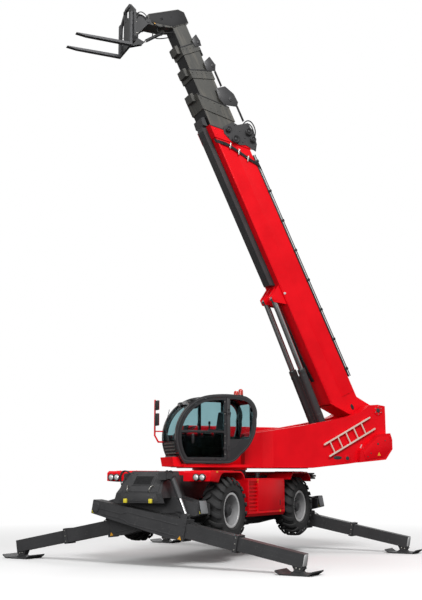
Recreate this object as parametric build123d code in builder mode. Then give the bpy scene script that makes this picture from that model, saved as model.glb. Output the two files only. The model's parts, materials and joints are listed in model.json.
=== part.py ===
from build123d import *
import os
from math import atan2, cos, degrees, hypot, pi, radians, sin

os.makedirs("parts", exist_ok=True)

# A rotating telehandler standing on its four stabilisers, boom raised and forks level.
# Millimetres, +Z up, ground at Z 0. X points to the machine's left and Y to its rear.
# Every piece is drawn in the frame of the body that carries it: chassis, turret, boom, arm or carriage.

# Clearances and common sizes
seat_gap = 0.3          # flat faces that seat on a neighbour of another body
pin_fit = 0.05          # radial play of a pin in its bore
plate = 12              # wall of the box sections

# Stance and wheels
tyre_lift = 414         # tyres hang this far above the ground
tyre_radius = 653
tyre_width = 420
tyre_shoulder = 80      # how far the lugs slope down to the wall
lug_count = 20
lug_depth = 36
lug_share = 0.5         # part of the pitch that a lug fills
wheelbase = 3397
overall_width = 2530
kingpin_x = 800
rim_radius = 330        # bead seat
rim_flange = 364
rim_width = 330
axle_z = tyre_lift + tyre_radius
wheel_x = (overall_width - tyre_width) / 2

# Chassis frame
frame_half = 420
frame_belly = 760
frame_arch = 1300       # underside over the axles
frame_top = 1780
frame_end = 2500
ring_radius = 600
ring_top = 1900         # top of the fixed slewing race

# Stabilisers: each arm hinges on the far side of the machine and crosses under it
arm_angle = 10.8          # slope down to the foot at rest
arm_pivot_x = 1050
arm_pivot_z = 1120
arm_front_plane = 3145  # outer arm of an end
arm_inner_plane = 2744  # inner arm of an end
outer_width = 300
outer_length = 2150
outer_top = 205         # above the arm's axis at its mouth
outer_bottom = 220
outer_tail_top = 150
outer_tail_bottom = 125
outer_tail = 110
mid_width = 250
mid_height = 280
mid_start = 1700
mid_end = 3300
tip_width = 200
tip_height = 250
tip_start = 2850
tip_end = 4650
arm_pin_radius = 50
foot_along = 4560       # foot's pin along the arm
foot_length = 740
foot_width = 520
foot_plate = 25
cylinder_top_x = 670    # upper pin of the stabiliser's cylinder
cylinder_top_z = 1760
cylinder_eye_along = outer_length - 110
cylinder_eye_up = 270

# Turret
slew_rest = -36         # degrees about Z
floor_bottom = 1950
floor_top = 2010
trough_half = 420       # clear width for the boom, halved
side_outer = 720        # outer face of the side beams
side_front_outer = 620
boom_pin_y = 3900
boom_pin_z = 3330
boom_pin_radius = 60
lift_base_y = 3000
lift_base_z = 2180
lift_spacing = 420
lift_pin_radius = 45
lift_barrel = 95        # radius of the lift cylinders' tubes
lift_rod = 66
lift_eye_half = lift_rod + 6 - seat_gap

# Cab
cab_inner = 440
cab_outer = 1250
cab_floor = 2030
cab_roof = 3520
cab_wall = 55
door_gap = 8
door_hinge_y = -400

# Boom
boom_rest = 64.15       # elevation in degrees
lift_eye_along = 3500
lift_eye_up = -1150
eye_radius = 70
# name, width, height, lower edge, tail, head, slant of the head's face, length of the head
section_table = [
    ("base", 700, 750, -920, 560, 7960, 580, 330),
    ("section_2", 610, 640, -890, 1480, 8780, 560, 400),
    ("section_3", 530, 530, -800, 2210, 9410, 200, 240),
    ("section_4", 460, 450, -760, 2890, 9990, 0, 220),
    ("section_5", 400, 380, -725, 3500, 10530, 0, 0),
]
neck_width = 430
neck_rise = 80          # the neck's shell stands above the last section
neck_boss = 60

# Carriage and forks
tilt_along = 10800      # tilt pin in the boom's frame
tilt_up = -1300
tilt_pin_radius = 35
fork_length = 1310
fork_heel = 500
fork_drop = 780
fork_thickness = 55
fork_width = 110
fork_spacing = 760
tilt_base_back = 446    # pin of the tilt cylinder, behind and below the tilt pin
tilt_base_down = 117
tilt_eye_ahead = 85
tilt_eye_down = 485

# The model's origin lies under the middle of its outline
tail_reach = 4200
tail_half = 850
rear_reach = tail_half * sin(radians(-slew_rest)) + tail_reach * cos(radians(slew_rest))
front_reach = arm_front_plane + foot_width / 2
centre_y = (front_reach - rear_reach) / 2


def frame_at(origin, along, up):
    """A frame with Y along a piece and Z towards its upper side."""
    return Plane(origin=origin, x_dir=Vector(*along).cross(Vector(*up)), z_dir=up)


def shifted(frame, x=0, y=0, z=0):
    return Plane(origin=frame.from_local_coords(Vector(x, y, z)), x_dir=frame.x_dir, z_dir=frame.z_dir)


def side(frame, x=0):
    """Drawing plane across X, drawn in the frame's Y and Z."""
    return Plane(origin=frame.from_local_coords(Vector(x, 0, 0)), x_dir=frame.y_dir, z_dir=frame.x_dir)


def front(frame, y=0):
    """Drawing plane across Y, drawn in the frame's X and Z, facing -Y."""
    return Plane(origin=frame.from_local_coords(Vector(0, y, 0)), x_dir=frame.x_dir, z_dir=-frame.y_dir)


def level(frame, z=0):
    """Drawing plane across Z, drawn in the frame's X and Y."""
    return Plane(origin=frame.from_local_coords(Vector(0, 0, z)), x_dir=frame.x_dir, z_dir=frame.z_dir)


def rotated(frame, x=0, y=0, z=0, angle=0):
    """A frame at a point of another one, turned about its X axis."""
    origin = frame.from_local_coords(Vector(x, y, z))
    up = -frame.y_dir * sin(radians(angle)) + frame.z_dir * cos(radians(angle))
    return Plane(origin=origin, x_dir=frame.x_dir, z_dir=up)


chassis = Plane(origin=(0, centre_y, 0))
rear_chassis = Plane(origin=(0, centre_y, 0), x_dir=(-1, 0, 0))
slew = radians(slew_rest)
turret = Plane(origin=(0, centre_y, 0), x_dir=(cos(slew), sin(slew), 0))
turret_ahead = frame_at(
    turret.from_local_coords(Vector(0, boom_pin_y, boom_pin_z)), tuple(-turret.y_dir), (0, 0, 1)
)
boom = rotated(turret_ahead, angle=boom_rest)
carriage_frame = rotated(boom, 0, tilt_along, tilt_up, -boom_rest)


def save(builder, name):
    builder.part.label = name
    export_step(builder.part, f"parts/{name}.step")


# Chassis frame: a box hull, raised over both axles, with the arm carriers at its ends
hull_side = [
    (frame_end, 900), (2250, 900), (2150, frame_arch), (1150, frame_arch), (1000, frame_belly),
    (-1000, frame_belly), (-1150, frame_arch), (-2150, frame_arch), (-2250, 900), (-frame_end, 900),
    (-frame_end, frame_top), (frame_end, frame_top),
]
cover_front = arm_front_plane + outer_width / 2 + 35
cover_top = 1860
cover_low = 1235
cover_lip = 190         # upright part of the cover at its foot
cover_run = 368         # how far the sloping part leans back
carrier_low = 1335      # underside of the carrier box, above a raised arm
web_reach = 1160
web_front = arm_front_plane - outer_width / 2 - 10
web_back = arm_inner_plane + outer_width / 2 + 10
back_web = arm_inner_plane - outer_width / 2 - 10
bracket_half = 85
beak_y = 2660           # where the lamps sit, ahead of the front wheels and behind the rear ones
# boxes that carry the tail lamps: underside, thickness, reach to the side
lamp_boxes = [(1695, 45, 1225), (1750, 45, 1245), (1805, 40, 1205)]
ear = 20
ear_gap = 45

with BuildPart() as end_box:
    with BuildSketch(side(chassis)):
        Polygon(
            (-cover_front, cover_low), (-cover_front, cover_low + cover_lip),
            (cover_run - cover_front, cover_top), (-frame_end + 50, cover_top),
            (-frame_end + 50, carrier_low), (-cover_front + 25, carrier_low), (-cover_front + 25, cover_low),
            align=None,
        )
    extrude(amount=web_reach, both=True)
    with BuildSketch(front(chassis)):
        Polygon((-600, cover_low), (600, cover_low), (390, cover_top), (-390, cover_top), align=None)
    extrude(amount=5000, both=True, mode=Mode.INTERSECT)
    for plane_y, thickness in ((-web_front, web_front - web_back), (-back_web, back_web - frame_end + 20)):
        with BuildSketch(front(chassis, plane_y)):
            Polygon(
                (-web_reach, 1000), (-450, 880), (450, 880), (web_reach, 1000),
                (web_reach, 1215), (600, 1360), (-600, 1360), (-web_reach, 1215), align=None,
            )
        extrude(amount=-thickness)
    # pins of the two arms
    with BuildSketch(front(chassis, -web_front)):
        with Locations((-arm_pivot_x, arm_pivot_z)):
            Circle(arm_pin_radius)
    extrude(amount=outer_width + 35)
    with BuildSketch(front(chassis, -(arm_front_plane + outer_width / 2 + seat_gap))):
        with Locations((-arm_pivot_x, arm_pivot_z)):
            Circle(arm_pin_radius + 25)
    extrude(amount=20)
    with BuildSketch(front(chassis, -back_web)):
        with Locations((arm_pivot_x, arm_pivot_z)):
            Circle(arm_pin_radius)
    extrude(amount=web_back - back_web)
    # brackets of the two lift cylinders
    for side_sign, plane_y in ((1, -arm_front_plane), (-1, -arm_inner_plane)):
        with BuildSketch(front(chassis, plane_y - bracket_half)):
            with Locations((side_sign * 490, cylinder_top_z)):
                Rectangle(180, 150)
        extrude(amount=-2 * bracket_half - (85 if side_sign > 0 else 0))
        for ear_y in (plane_y - ear_gap - ear, plane_y + ear_gap):
            with BuildSketch(front(chassis, ear_y)):
                with Locations((side_sign * 620, cylinder_top_z)):
                    Rectangle(100, 110)
                with Locations((side_sign * cylinder_top_x, cylinder_top_z)):
                    Circle(55)
            extrude(amount=-ear)
        with BuildSketch(front(chassis, plane_y - ear_gap - ear)):
            with Locations((side_sign * cylinder_top_x, cylinder_top_z)):
                Circle(22)
        extrude(amount=-2 * (ear_gap + ear))

with BuildPart() as chassis_frame:
    with BuildSketch(side(chassis)):
        Polygon(*hull_side, align=None)
    extrude(amount=frame_half, both=True)
    with BuildSketch(level(chassis, frame_top - 20)):
        Circle(ring_radius)
    extrude(amount=ring_top - frame_top + 20)
    add(end_box.part)
    add(end_box.part.rotate(Axis((0, centre_y, 0), (0, 0, 1)), 180))
    # stacked boxes behind the rear mudguards, which carry the tail lamps
    for sign in (1, -1):
        for low, thickness, reach in lamp_boxes:
            with BuildSketch(level(rear_chassis, low)):
                Polygon(
                    (sign * 380, -beak_y), (sign * reach, -beak_y), (sign * reach, 240 - beak_y),
                    (sign * 380, 240 - beak_y), align=None,
                )
            extrude(amount=thickness)
        with BuildSketch(level(rear_chassis, lamp_boxes[0][0] + 5)):
            Polygon(
                (sign * 380, 35 - beak_y), (sign * 1180, 35 - beak_y), (sign * 1180, 205 - beak_y),
                (sign * 380, 205 - beak_y), align=None,
            )
        extrude(amount=lamp_boxes[-1][0] - lamp_boxes[0][0])
save(chassis_frame, "chassis_frame")

# Side boxes: fuel tank on the left, oil tank on the right, with a recessed step part ahead
box_end = 915
box_outer = 1205
box_low = 900
box_high = 1715
recess_y = -665         # louvred recess in the front third
recess_z = 1330
recess_length = 420
recess_height = 640
recess_depth = 45
louvre_count = 8
with BuildPart() as side_boxes:
    for sign in (1, -1):
        with BuildSketch(front(chassis, box_end)):
            with BuildLine():
                FilletPolyline(
                    (sign * (frame_half + seat_gap), box_low), (sign * (box_outer - 40), box_low),
                    (sign * box_outer, box_low + 60), (sign * box_outer, box_high),
                    (sign * (frame_half + seat_gap), box_high), radius=12, close=True,
                )
            make_face()
        extrude(amount=2 * box_end)
        with BuildSketch(side(chassis, sign * box_outer)):
            with Locations((recess_y, recess_z)):
                Rectangle(recess_length, recess_height)
        extrude(amount=-sign * recess_depth, mode=Mode.SUBTRACT)
        with BuildSketch(side(chassis, sign * (box_outer - recess_depth))):
            with Locations((recess_y, recess_z)):
                with GridLocations(0, recess_height / louvre_count, 1, louvre_count):
                    Rectangle(recess_length + 10, 22)
        extrude(amount=sign * (recess_depth - 12))
save(side_boxes, "side_boxes")

# Mudguards: a flat arch over each wheel, with a beak that carries the lamps at each end
guard_inner = 640
guard_outer = 1250
guard_top = 1868
guard_wall = 40
arch_front = (-2290, 1640)
arch_top = (-1400, guard_top)
with BuildPart() as fenders:
    for end_frame in (chassis, rear_chassis):
        for sign in (1, -1):
            with BuildSketch(side(end_frame, sign * guard_inner)):
                with BuildLine():
                    if end_frame is chassis:
                        Polyline(arch_front, (-beak_y, 1660), (-beak_y, 1830), (-2600, guard_top), arch_top)
                    else:
                        Polyline(arch_front, (-2330, 1640), (-2270, 1790), (-2110, guard_top), arch_top)
                    ThreePointArc(arch_top, (-1232, 1822), (-1130, 1690))
                    Line((-1130, 1690), (-1172, 1680))
                    ThreePointArc((-1172, 1680), (-1265, 1795), (-1400, guard_top - guard_wall))
                    Line((-1400, guard_top - guard_wall), (-2060, guard_top - guard_wall))
                    ThreePointArc((-2060, guard_top - guard_wall), (-2196, 1775), arch_front)
                make_face()
            extrude(amount=sign * (guard_outer - guard_inner))
        with BuildSketch(level(end_frame, frame_top + seat_gap)):
            Polygon(
                (-guard_inner - 40, -2060), (guard_inner + 40, -2060), (guard_inner + 40, -1400),
                (-guard_inner - 40, -1400), align=None,
            )
        extrude(amount=guard_top - frame_top - seat_gap)
save(fenders, "fenders")

# Lamps: twin round lamps in the front beaks, lamp blocks at the rear
lamp_z = 1738
with BuildPart() as road_lamps:
    for sign in (1, -1):
        for lamp_x in (970, 1110):
            with BuildSketch(front(chassis, -beak_y - seat_gap)):
                with Locations((sign * lamp_x, lamp_z)):
                    Circle(62)
            extrude(amount=60)
        with BuildSketch(front(rear_chassis, -beak_y - seat_gap)):
            with Locations((sign * 1000, 1750)):
                Rectangle(260, 90)
        extrude(amount=50)
save(road_lamps, "road_lamps")

# Axles: a housing with a round differential, a yoke at each end and the kingpins
king_radius = 35
knuckle_radius = 90
knuckle_half = 140
yoke_half = 195
yoke_back = 650
tube_radius = 105
bowl_radius = 225       # bowl of the differential
with BuildPart() as axles:
    for end_frame in (chassis, rear_chassis):
        at_axle = shifted(end_frame, 0, -wheelbase / 2, axle_z)
        with BuildSketch(level(at_axle)):
            Polygon(
                (-yoke_back, 0), (-yoke_back, tube_radius), (-280, tube_radius), (-190, bowl_radius - 35),
                (-90, bowl_radius), (90, bowl_radius), (190, bowl_radius - 35), (280, tube_radius),
                (yoke_back, tube_radius), (yoke_back, 0), align=None,
            )
        revolve(axis=Axis(at_axle.origin, at_axle.x_dir))
        # pads that carry the hull
        for pad_x in (-330, 330):
            with BuildSketch(level(at_axle)):
                with Locations((pad_x, 0)):
                    Rectangle(140, 180)
            extrude(amount=frame_arch - axle_z - seat_gap)
        for sign in (1, -1):
            for arm_z in (knuckle_half + seat_gap, -yoke_half):
                with BuildSketch(level(at_axle, arm_z)):
                    with Locations((sign * (kingpin_x + yoke_back - 20) / 2, 0)):
                        Rectangle(kingpin_x - yoke_back + 20, 150)
                    with Locations((sign * kingpin_x, 0)):
                        Circle(75)
                extrude(amount=yoke_half - knuckle_half - seat_gap)
            with BuildSketch(level(at_axle, -yoke_half)):
                with Locations((sign * (yoke_back + 15), 0)):
                    Rectangle(70, 150)
            extrude(amount=2 * yoke_half)
            with BuildSketch(level(at_axle, -yoke_half)):
                with Locations((sign * kingpin_x, 0)):
                    Circle(king_radius)
            extrude(amount=2 * yoke_half)
save(axles, "axles")

# Steering knuckles and wheels
spindle_radius = 60
spindle_end = 1095
hub_face = 930
wheel_rows = [
    # name, end frame, side
    ("front_left", chassis, 1),
    ("front_right", chassis, -1),
    ("rear_left", rear_chassis, -1),
    ("rear_right", rear_chassis, 1),
]
half_tyre = tyre_width / 2
half_rim = rim_width / 2
rim_wall = rim_flange - rim_radius + 20
disc_at = hub_face + seat_gap - wheel_x
disc_wall = 25
hub_radius = 150
hub_end = spindle_end + 10 - wheel_x
cap_radius = 110
cap_end = hub_end + 51


def tread_outline(share, scale=1):
    """Side outline of one row of lugs, turned by a share of their pitch."""
    points = []
    for index in range(lug_count):
        for offset, radius in (
            (-lug_share / 2, tyre_radius - lug_depth), (-lug_share / 2 + 0.06, tyre_radius),
            (lug_share / 2 - 0.06, tyre_radius), (lug_share / 2, tyre_radius - lug_depth),
        ):
            angle = 2 * pi * (index + offset + share) / lug_count
            points.append((scale * radius * sin(angle), scale * radius * cos(angle)))
    return points


for name, end_frame, sign in wheel_rows:
    at_king = shifted(end_frame, sign * kingpin_x, -wheelbase / 2, axle_z)
    with BuildPart() as knuckle:
        with BuildSketch(level(at_king, -knuckle_half)):
            Circle(knuckle_radius)
        extrude(amount=2 * knuckle_half)
        with BuildSketch(side(at_king)):
            Circle(spindle_radius)
        extrude(amount=sign * (spindle_end - kingpin_x))
        with BuildSketch(side(at_king)):
            Circle(125)
        extrude(amount=sign * (hub_face - kingpin_x))
        # steering arm towards the middle of the machine
        with BuildSketch(level(at_king, -60)):
            Polygon((-60, 0), (60, 0), (20, 260), (-30, 260), align=None)
        extrude(amount=50)
        with BuildSketch(level(at_king, -knuckle_half)):
            Circle(king_radius + pin_fit)
        extrude(amount=2 * knuckle_half, mode=Mode.SUBTRACT)
    save(knuckle, f"knuckle_{name}")

    at_wheel = shifted(end_frame, sign * wheel_x, -wheelbase / 2, axle_z)
    with BuildPart() as tyre:
        # two rows of lugs, half a pitch apart, that slope down over the shoulders
        for row_side, share in ((1, 0), (-1, 0.5)):
            shoulder_x = half_tyre - tyre_shoulder
            with BuildSketch(side(at_wheel)):
                Polygon(*tread_outline(share), align=None)
            extrude(amount=row_side * shoulder_x)
            with BuildSketch(side(at_wheel, row_side * shoulder_x)):
                Polygon(*tread_outline(share), align=None)
            with BuildSketch(side(at_wheel, row_side * half_tyre)):
                Polygon(*tread_outline(share, 1 - tyre_shoulder / tyre_radius), align=None)
            loft(ruled=True)
        with BuildSketch(side(at_wheel, -half_tyre)):
            Circle(rim_flange + seat_gap)
        extrude(amount=tyre_width, mode=Mode.SUBTRACT)
    save(tyre, f"tyre_{name}")

    # one turned profile: rim, disc, hub and cap, with u outwards from the wheel's middle plane
    rim_profile = [
        (disc_at, spindle_radius + pin_fit), (disc_at, rim_flange - rim_wall),
        (-half_rim, rim_flange - rim_wall), (-half_rim, rim_flange), (half_rim, rim_flange),
        (half_rim, rim_flange - rim_wall), (disc_at + disc_wall, rim_flange - rim_wall),
        (disc_at + disc_wall, hub_radius), (hub_end, hub_radius), (hub_end, cap_radius),
        (cap_end, cap_radius - 15), (cap_end, 0), (spindle_end + 1 - wheel_x, 0),
        (spindle_end + 1 - wheel_x, spindle_radius + pin_fit),
    ]
    with BuildPart() as rim:
        with BuildSketch(level(at_wheel)):
            Polygon(*[(sign * u, radius) for u, radius in rim_profile], align=None)
        revolve(axis=Axis(at_wheel.origin, at_wheel.x_dir))
    save(rim, f"rim_{name}")

# Stabilisers: outer box, middle box, end box with its foot, and the lift cylinder
arm_rows = [
    # name, end frame, side of the foot, distance of the arm's plane from the middle
    ("front_left", chassis, 1, arm_front_plane),
    ("front_right", chassis, -1, arm_inner_plane),
    ("rear_left", rear_chassis, -1, arm_inner_plane),
    ("rear_right", rear_chassis, 1, arm_front_plane),
]
slope = radians(arm_angle)
collar = 20
collar_side = 4
barrel_radius = 58
rod_radius = 32
eye_half = ear_gap - seat_gap
closed_length = 560
barrel_start = 60       # tube of the cylinder, from its upper pin
barrel_end = closed_length - 85
bore_start = 75
ear_rise = 32           # ears above the eye they hold


def arm_frame(end_frame, sign, plane_y):
    """Y runs along the arm from its hinge to its foot, Z is square to it."""
    origin = end_frame.from_local_coords(Vector(-sign * arm_pivot_x, -plane_y, arm_pivot_z))
    out = end_frame.x_dir * sign
    along = out * cos(slope) - Vector(0, 0, 1) * sin(slope)
    up = out * sin(slope) + Vector(0, 0, 1) * cos(slope)
    return Plane(origin=origin, x_dir=along.cross(up), z_dir=up)


for name, end_frame, sign, plane_y in arm_rows:
    arm = arm_frame(end_frame, sign, plane_y)
    with BuildPart() as outer:
        with BuildSketch(side(arm)):
            Polygon(
                (-outer_tail, -outer_tail_bottom), (1800, -outer_bottom), (outer_length, -outer_bottom + 30),
                (outer_length, outer_top), (-outer_tail, outer_tail_top), align=None,
            )
        extrude(amount=outer_width / 2, both=True)
        with BuildSketch(front(arm, 620)):
            Rectangle(outer_width - 2 * plate, mid_height + 12)
        extrude(amount=-outer_length, mode=Mode.SUBTRACT)
        # collar that guides the middle box
        with BuildSketch(front(arm, outer_length - 60)):
            Rectangle(outer_width + 2 * collar_side, outer_top + outer_bottom - 10)
            Rectangle(mid_width + 2 * seat_gap, mid_height + 2 * seat_gap, mode=Mode.SUBTRACT)
        extrude(amount=-60)
        # ears of the lift cylinder on the upper face
        for ear_x in (-ear_gap - ear, ear_gap):
            with BuildSketch(side(arm, ear_x)):
                Polygon(
                    (cylinder_eye_along - 130, 170), (cylinder_eye_along + 70, 170),
                    (cylinder_eye_along + 45, cylinder_eye_up + ear_rise),
                    (cylinder_eye_along - 45, cylinder_eye_up + ear_rise), align=None,
                )
            extrude(amount=ear)
        with BuildSketch(side(arm, -outer_width / 2)):
            Circle(arm_pin_radius + pin_fit)
        extrude(amount=outer_width, mode=Mode.SUBTRACT)
    save(outer, f"stabiliser_outer_{name}")

    with BuildPart() as middle:
        with BuildSketch(front(arm, mid_start)):
            Rectangle(mid_width, mid_height)
            Rectangle(mid_width - 16, mid_height - 16, mode=Mode.SUBTRACT)
        extrude(amount=mid_start - mid_end)
        with BuildSketch(front(arm, mid_end - 80)):
            Rectangle(mid_width + 2 * collar, mid_height + 2 * collar)
            Rectangle(tip_width + 2 * seat_gap, tip_height + 2 * seat_gap, mode=Mode.SUBTRACT)
        extrude(amount=-80)
    save(middle, f"stabiliser_middle_{name}")

    foot_at = arm.from_local_coords(Vector(0, foot_along, -tip_height / 2 - 60))
    foot = Plane(origin=foot_at, x_dir=end_frame.x_dir * sign)
    with BuildPart() as tip:
        with BuildSketch(front(arm, tip_start)):
            Rectangle(tip_width, tip_height)
        extrude(amount=tip_start - tip_end)
        with BuildSketch(side(arm)):
            Polygon(
                (foot_along - 130, -tip_height / 2 + 5), (foot_along + 120, -tip_height / 2 + 5),
                (foot_along + 60, -tip_height / 2 - 90), (foot_along - 60, -tip_height / 2 - 90), align=None,
            )
        extrude(amount=70, both=True)
        with BuildSketch(front(foot, 0)):
            Polygon(
                (-150, foot_plate - foot_at.Z - 5), (150, foot_plate - foot_at.Z - 5), (70, 0), (-70, 0),
                align=None,
            )
        extrude(amount=60, both=True)
        with BuildSketch(front(foot, 0)):
            Polygon(
                (-foot_length / 2, 60 - foot_at.Z), (-foot_length / 2 + 90, -foot_at.Z),
                (foot_length / 2 - 90, -foot_at.Z), (foot_length / 2, 60 - foot_at.Z),
                (foot_length / 2, 60 + foot_plate - foot_at.Z),
                (foot_length / 2 - 90, foot_plate - foot_at.Z),
                (-foot_length / 2 + 90, foot_plate - foot_at.Z),
                (-foot_length / 2, 60 + foot_plate - foot_at.Z),
                align=None,
            )
        extrude(amount=foot_width / 2, both=True)
    save(tip, f"stabiliser_tip_{name}")

    top_at = end_frame.from_local_coords(Vector(sign * cylinder_top_x, -plane_y, cylinder_top_z))
    eye_at = arm.from_local_coords(Vector(0, cylinder_eye_along, cylinder_eye_up))
    run = eye_at - top_at
    cylinder = Plane(origin=top_at, x_dir=arm.x_dir, z_dir=arm.x_dir.cross(run))
    reach = run.length
    with BuildPart() as barrel:
        with BuildSketch(front(cylinder, barrel_start)):
            Circle(barrel_radius)
        extrude(amount=barrel_start - barrel_end)
        with BuildSketch(side(cylinder, -eye_half)):
            Circle(50)
        extrude(amount=2 * eye_half)
        with BuildSketch(side(cylinder, -eye_half)):
            with Locations((50, 0)):
                Rectangle(60, 70)
        extrude(amount=2 * eye_half)
        with BuildSketch(side(cylinder, -eye_half)):
            Circle(22 + pin_fit)
        extrude(amount=2 * eye_half, mode=Mode.SUBTRACT)
        with BuildSketch(front(cylinder, bore_start)):
            Circle(rod_radius + pin_fit)
        extrude(amount=-closed_length, mode=Mode.SUBTRACT)
    save(barrel, f"stabiliser_barrel_{name}")
    with BuildPart() as rod:
        with BuildSketch(front(cylinder, reach - 30)):
            Circle(rod_radius)
        extrude(amount=barrel_end - bore_start + 32)
        with BuildSketch(side(cylinder, -eye_half)):
            with Locations((reach, 0)):
                Circle(42)
        extrude(amount=2 * eye_half)
    save(rod, f"stabiliser_rod_{name}")

# Turret: two side beams, the floor between them, the slewing race and the pins
beam_front = 340
rise_start = (2045, floor_bottom)       # behind this the beams and the floor between them rise
rise_knee = (3005, 2047)
rise_end = (3260, 2080)
trough_plate = 30
beam_side_low = [(beam_front, floor_bottom), rise_start, rise_knee, rise_end]
counter_top = [(3290, 2360), (3790, 2750), (4120, 2780)]
with BuildPart() as beams:
    with BuildSketch(side(turret)):
        with BuildLine():
            Polyline(*beam_side_low, *counter_top, (4105, 3440), (3900, 3470), (3644, 3450))
            ThreePointArc((3644, 3450), (3430, 3290), (3180, 3185))
            Polyline(
                (3180, 3185), (2617, 3064), (1797, 2916), (615, 2732), (beam_front, 2700), beam_side_low[0]
            )
        make_face()
    extrude(amount=side_outer, both=True)
    with BuildSketch(level(turret, floor_bottom)):
        for sign in (1, -1):
            Polygon(
                (sign * trough_half, beam_front), (sign * side_front_outer, beam_front),
                (sign * side_front_outer, 790),
                (sign * side_outer, 1020), (sign * side_outer, 4110), (sign * trough_half, 4110), align=None,
            )
    extrude(amount=2000, mode=Mode.INTERSECT)

lift_lug = 25
lug_clear = lift_barrel + 8     # inner face of a lug, clear of the tube it holds
spacer_radius = 62
with BuildPart() as turret_frame:
    add(beams.part)
    with BuildSketch(level(turret, ring_top + seat_gap)):
        Circle(ring_radius + 30)
    extrude(amount=floor_bottom + 20 - ring_top)
    with BuildSketch(level(turret, floor_bottom)):
        Polygon(
            (-1220, -550), (-trough_half, -900), (cab_inner - 40, -900), (cab_inner - 20, -1380),
            (cab_outer - 60, -1380), (cab_outer - 60, 250), (side_front_outer, 420),
            (side_front_outer, rise_start[0]), (20 - side_outer, rise_start[0]), (20 - side_outer, 2750),
            (-1220, 2750), align=None,
        )
    extrude(amount=floor_top - floor_bottom)
    with BuildSketch(side(turret)):
        Polygon(
            (rise_start[0] - 60, floor_top), (rise_start[0] - 60, floor_bottom), rise_start, rise_knee,
            (rise_end[0] - 20, rise_end[1]), (rise_end[0] - 20, rise_end[1] + trough_plate),
            (rise_knee[0], rise_knee[1] + trough_plate), (rise_start[0] + 300, floor_top), align=None,
        )
    extrude(amount=trough_half + 20, both=True)
    with BuildSketch(side(turret, -trough_half - 40)):
        with Locations((boom_pin_y, boom_pin_z)):
            Circle(boom_pin_radius)
    extrude(amount=2 * trough_half + 80)
    for sign in (1, -1):
        for offset_x in (-lug_clear - lift_lug, lug_clear):
            with BuildSketch(side(turret, sign * lift_spacing / 2 + offset_x)):
                Polygon(
                    (lift_base_y - 260, rise_knee[1] - 10), (lift_base_y, rise_knee[1] + 10),
                    (lift_base_y + 200, rise_end[1] + 10),
                    (lift_base_y + 90, lift_base_z + 60), (lift_base_y - 90, lift_base_z + 60), align=None,
                )
            extrude(amount=lift_lug)
        # spacers between the lugs and the eye
        for offset_x in (-lug_clear, lift_eye_half + seat_gap):
            with BuildSketch(side(turret, sign * lift_spacing / 2 + offset_x)):
                with Locations((lift_base_y, lift_base_z)):
                    Circle(spacer_radius)
            extrude(amount=lug_clear - lift_eye_half - seat_gap)
        with BuildSketch(side(turret, sign * lift_spacing / 2 - lug_clear - lift_lug)):
            with Locations((lift_base_y, lift_base_z)):
                Circle(lift_pin_radius)
        extrude(amount=2 * (lug_clear + lift_lug))
    # rubber mounts under the cab and the panel below its nose
    with BuildSketch(level(turret, floor_top - 5)):
        with Locations(*[(x, y) for x in (560, 1110) for y in (-1250, -550)]):
            Circle(50)
    extrude(amount=cab_floor - seat_gap - floor_top + 5)
    with BuildSketch(side(turret, cab_inner)):
        Polygon(
            (-1640, 2165), (-1500, 2165), (-1415, floor_top), (-1300, floor_top), (-1300, floor_bottom),
            (-1600, floor_bottom + 20), align=None,
        )
    extrude(amount=690)
save(turret_frame, "turret_frame")

with BuildPart() as counterweight:
    with BuildSketch(side(turret)):
        Polygon(
            (beam_side_low[-1][0] + seat_gap, beam_side_low[-1][1]), (4000, 2150), (tail_reach, 2400),
            (tail_reach, 2630), (counter_top[-1][0] + 30, counter_top[-1][1] - seat_gap),
            *[(y + seat_gap, z - seat_gap) for y, z in reversed(counter_top)], align=None,
        )
    extrude(amount=tail_half, both=True)
save(counterweight, "counterweight")

# Engine on the right of the turret, under its hood
hood_outer = 1245
hood_front = -500
hood_rear = 2700
hood_top = 2950
hood_wall = 20
with BuildPart() as engine_cover:
    with BuildSketch(front(turret, hood_rear)):
        with BuildLine():
            FilletPolyline(
                (-side_outer - 1, floor_top + seat_gap), (-side_outer - 1, hood_top), (-1080, hood_top),
                (-hood_outer, hood_top - 260), (-hood_outer, floor_top + seat_gap), radius=60, close=False,
            )
            Line((-hood_outer, floor_top + seat_gap), (-side_outer - 1, floor_top + seat_gap))
        make_face()
    extrude(amount=hood_rear - hood_front)
    with BuildSketch(front(turret, hood_rear - hood_wall)):
        Polygon(
            (-side_outer - 1 - hood_wall, floor_top), (-side_outer - 1 - hood_wall, hood_top - hood_wall),
            (-1070, hood_top - hood_wall), (-hood_outer + hood_wall, hood_top - 275),
            (-hood_outer + hood_wall, floor_top), align=None,
        )
    extrude(amount=hood_rear - hood_front - 2 * hood_wall, mode=Mode.SUBTRACT)
save(engine_cover, "engine_cover")

with BuildPart() as engine_block:
    with BuildSketch(level(turret, floor_top + seat_gap)):
        with Locations((-985, 900)):
            Rectangle(400, 1250)
    extrude(amount=650)
save(engine_block, "engine_block")

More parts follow.
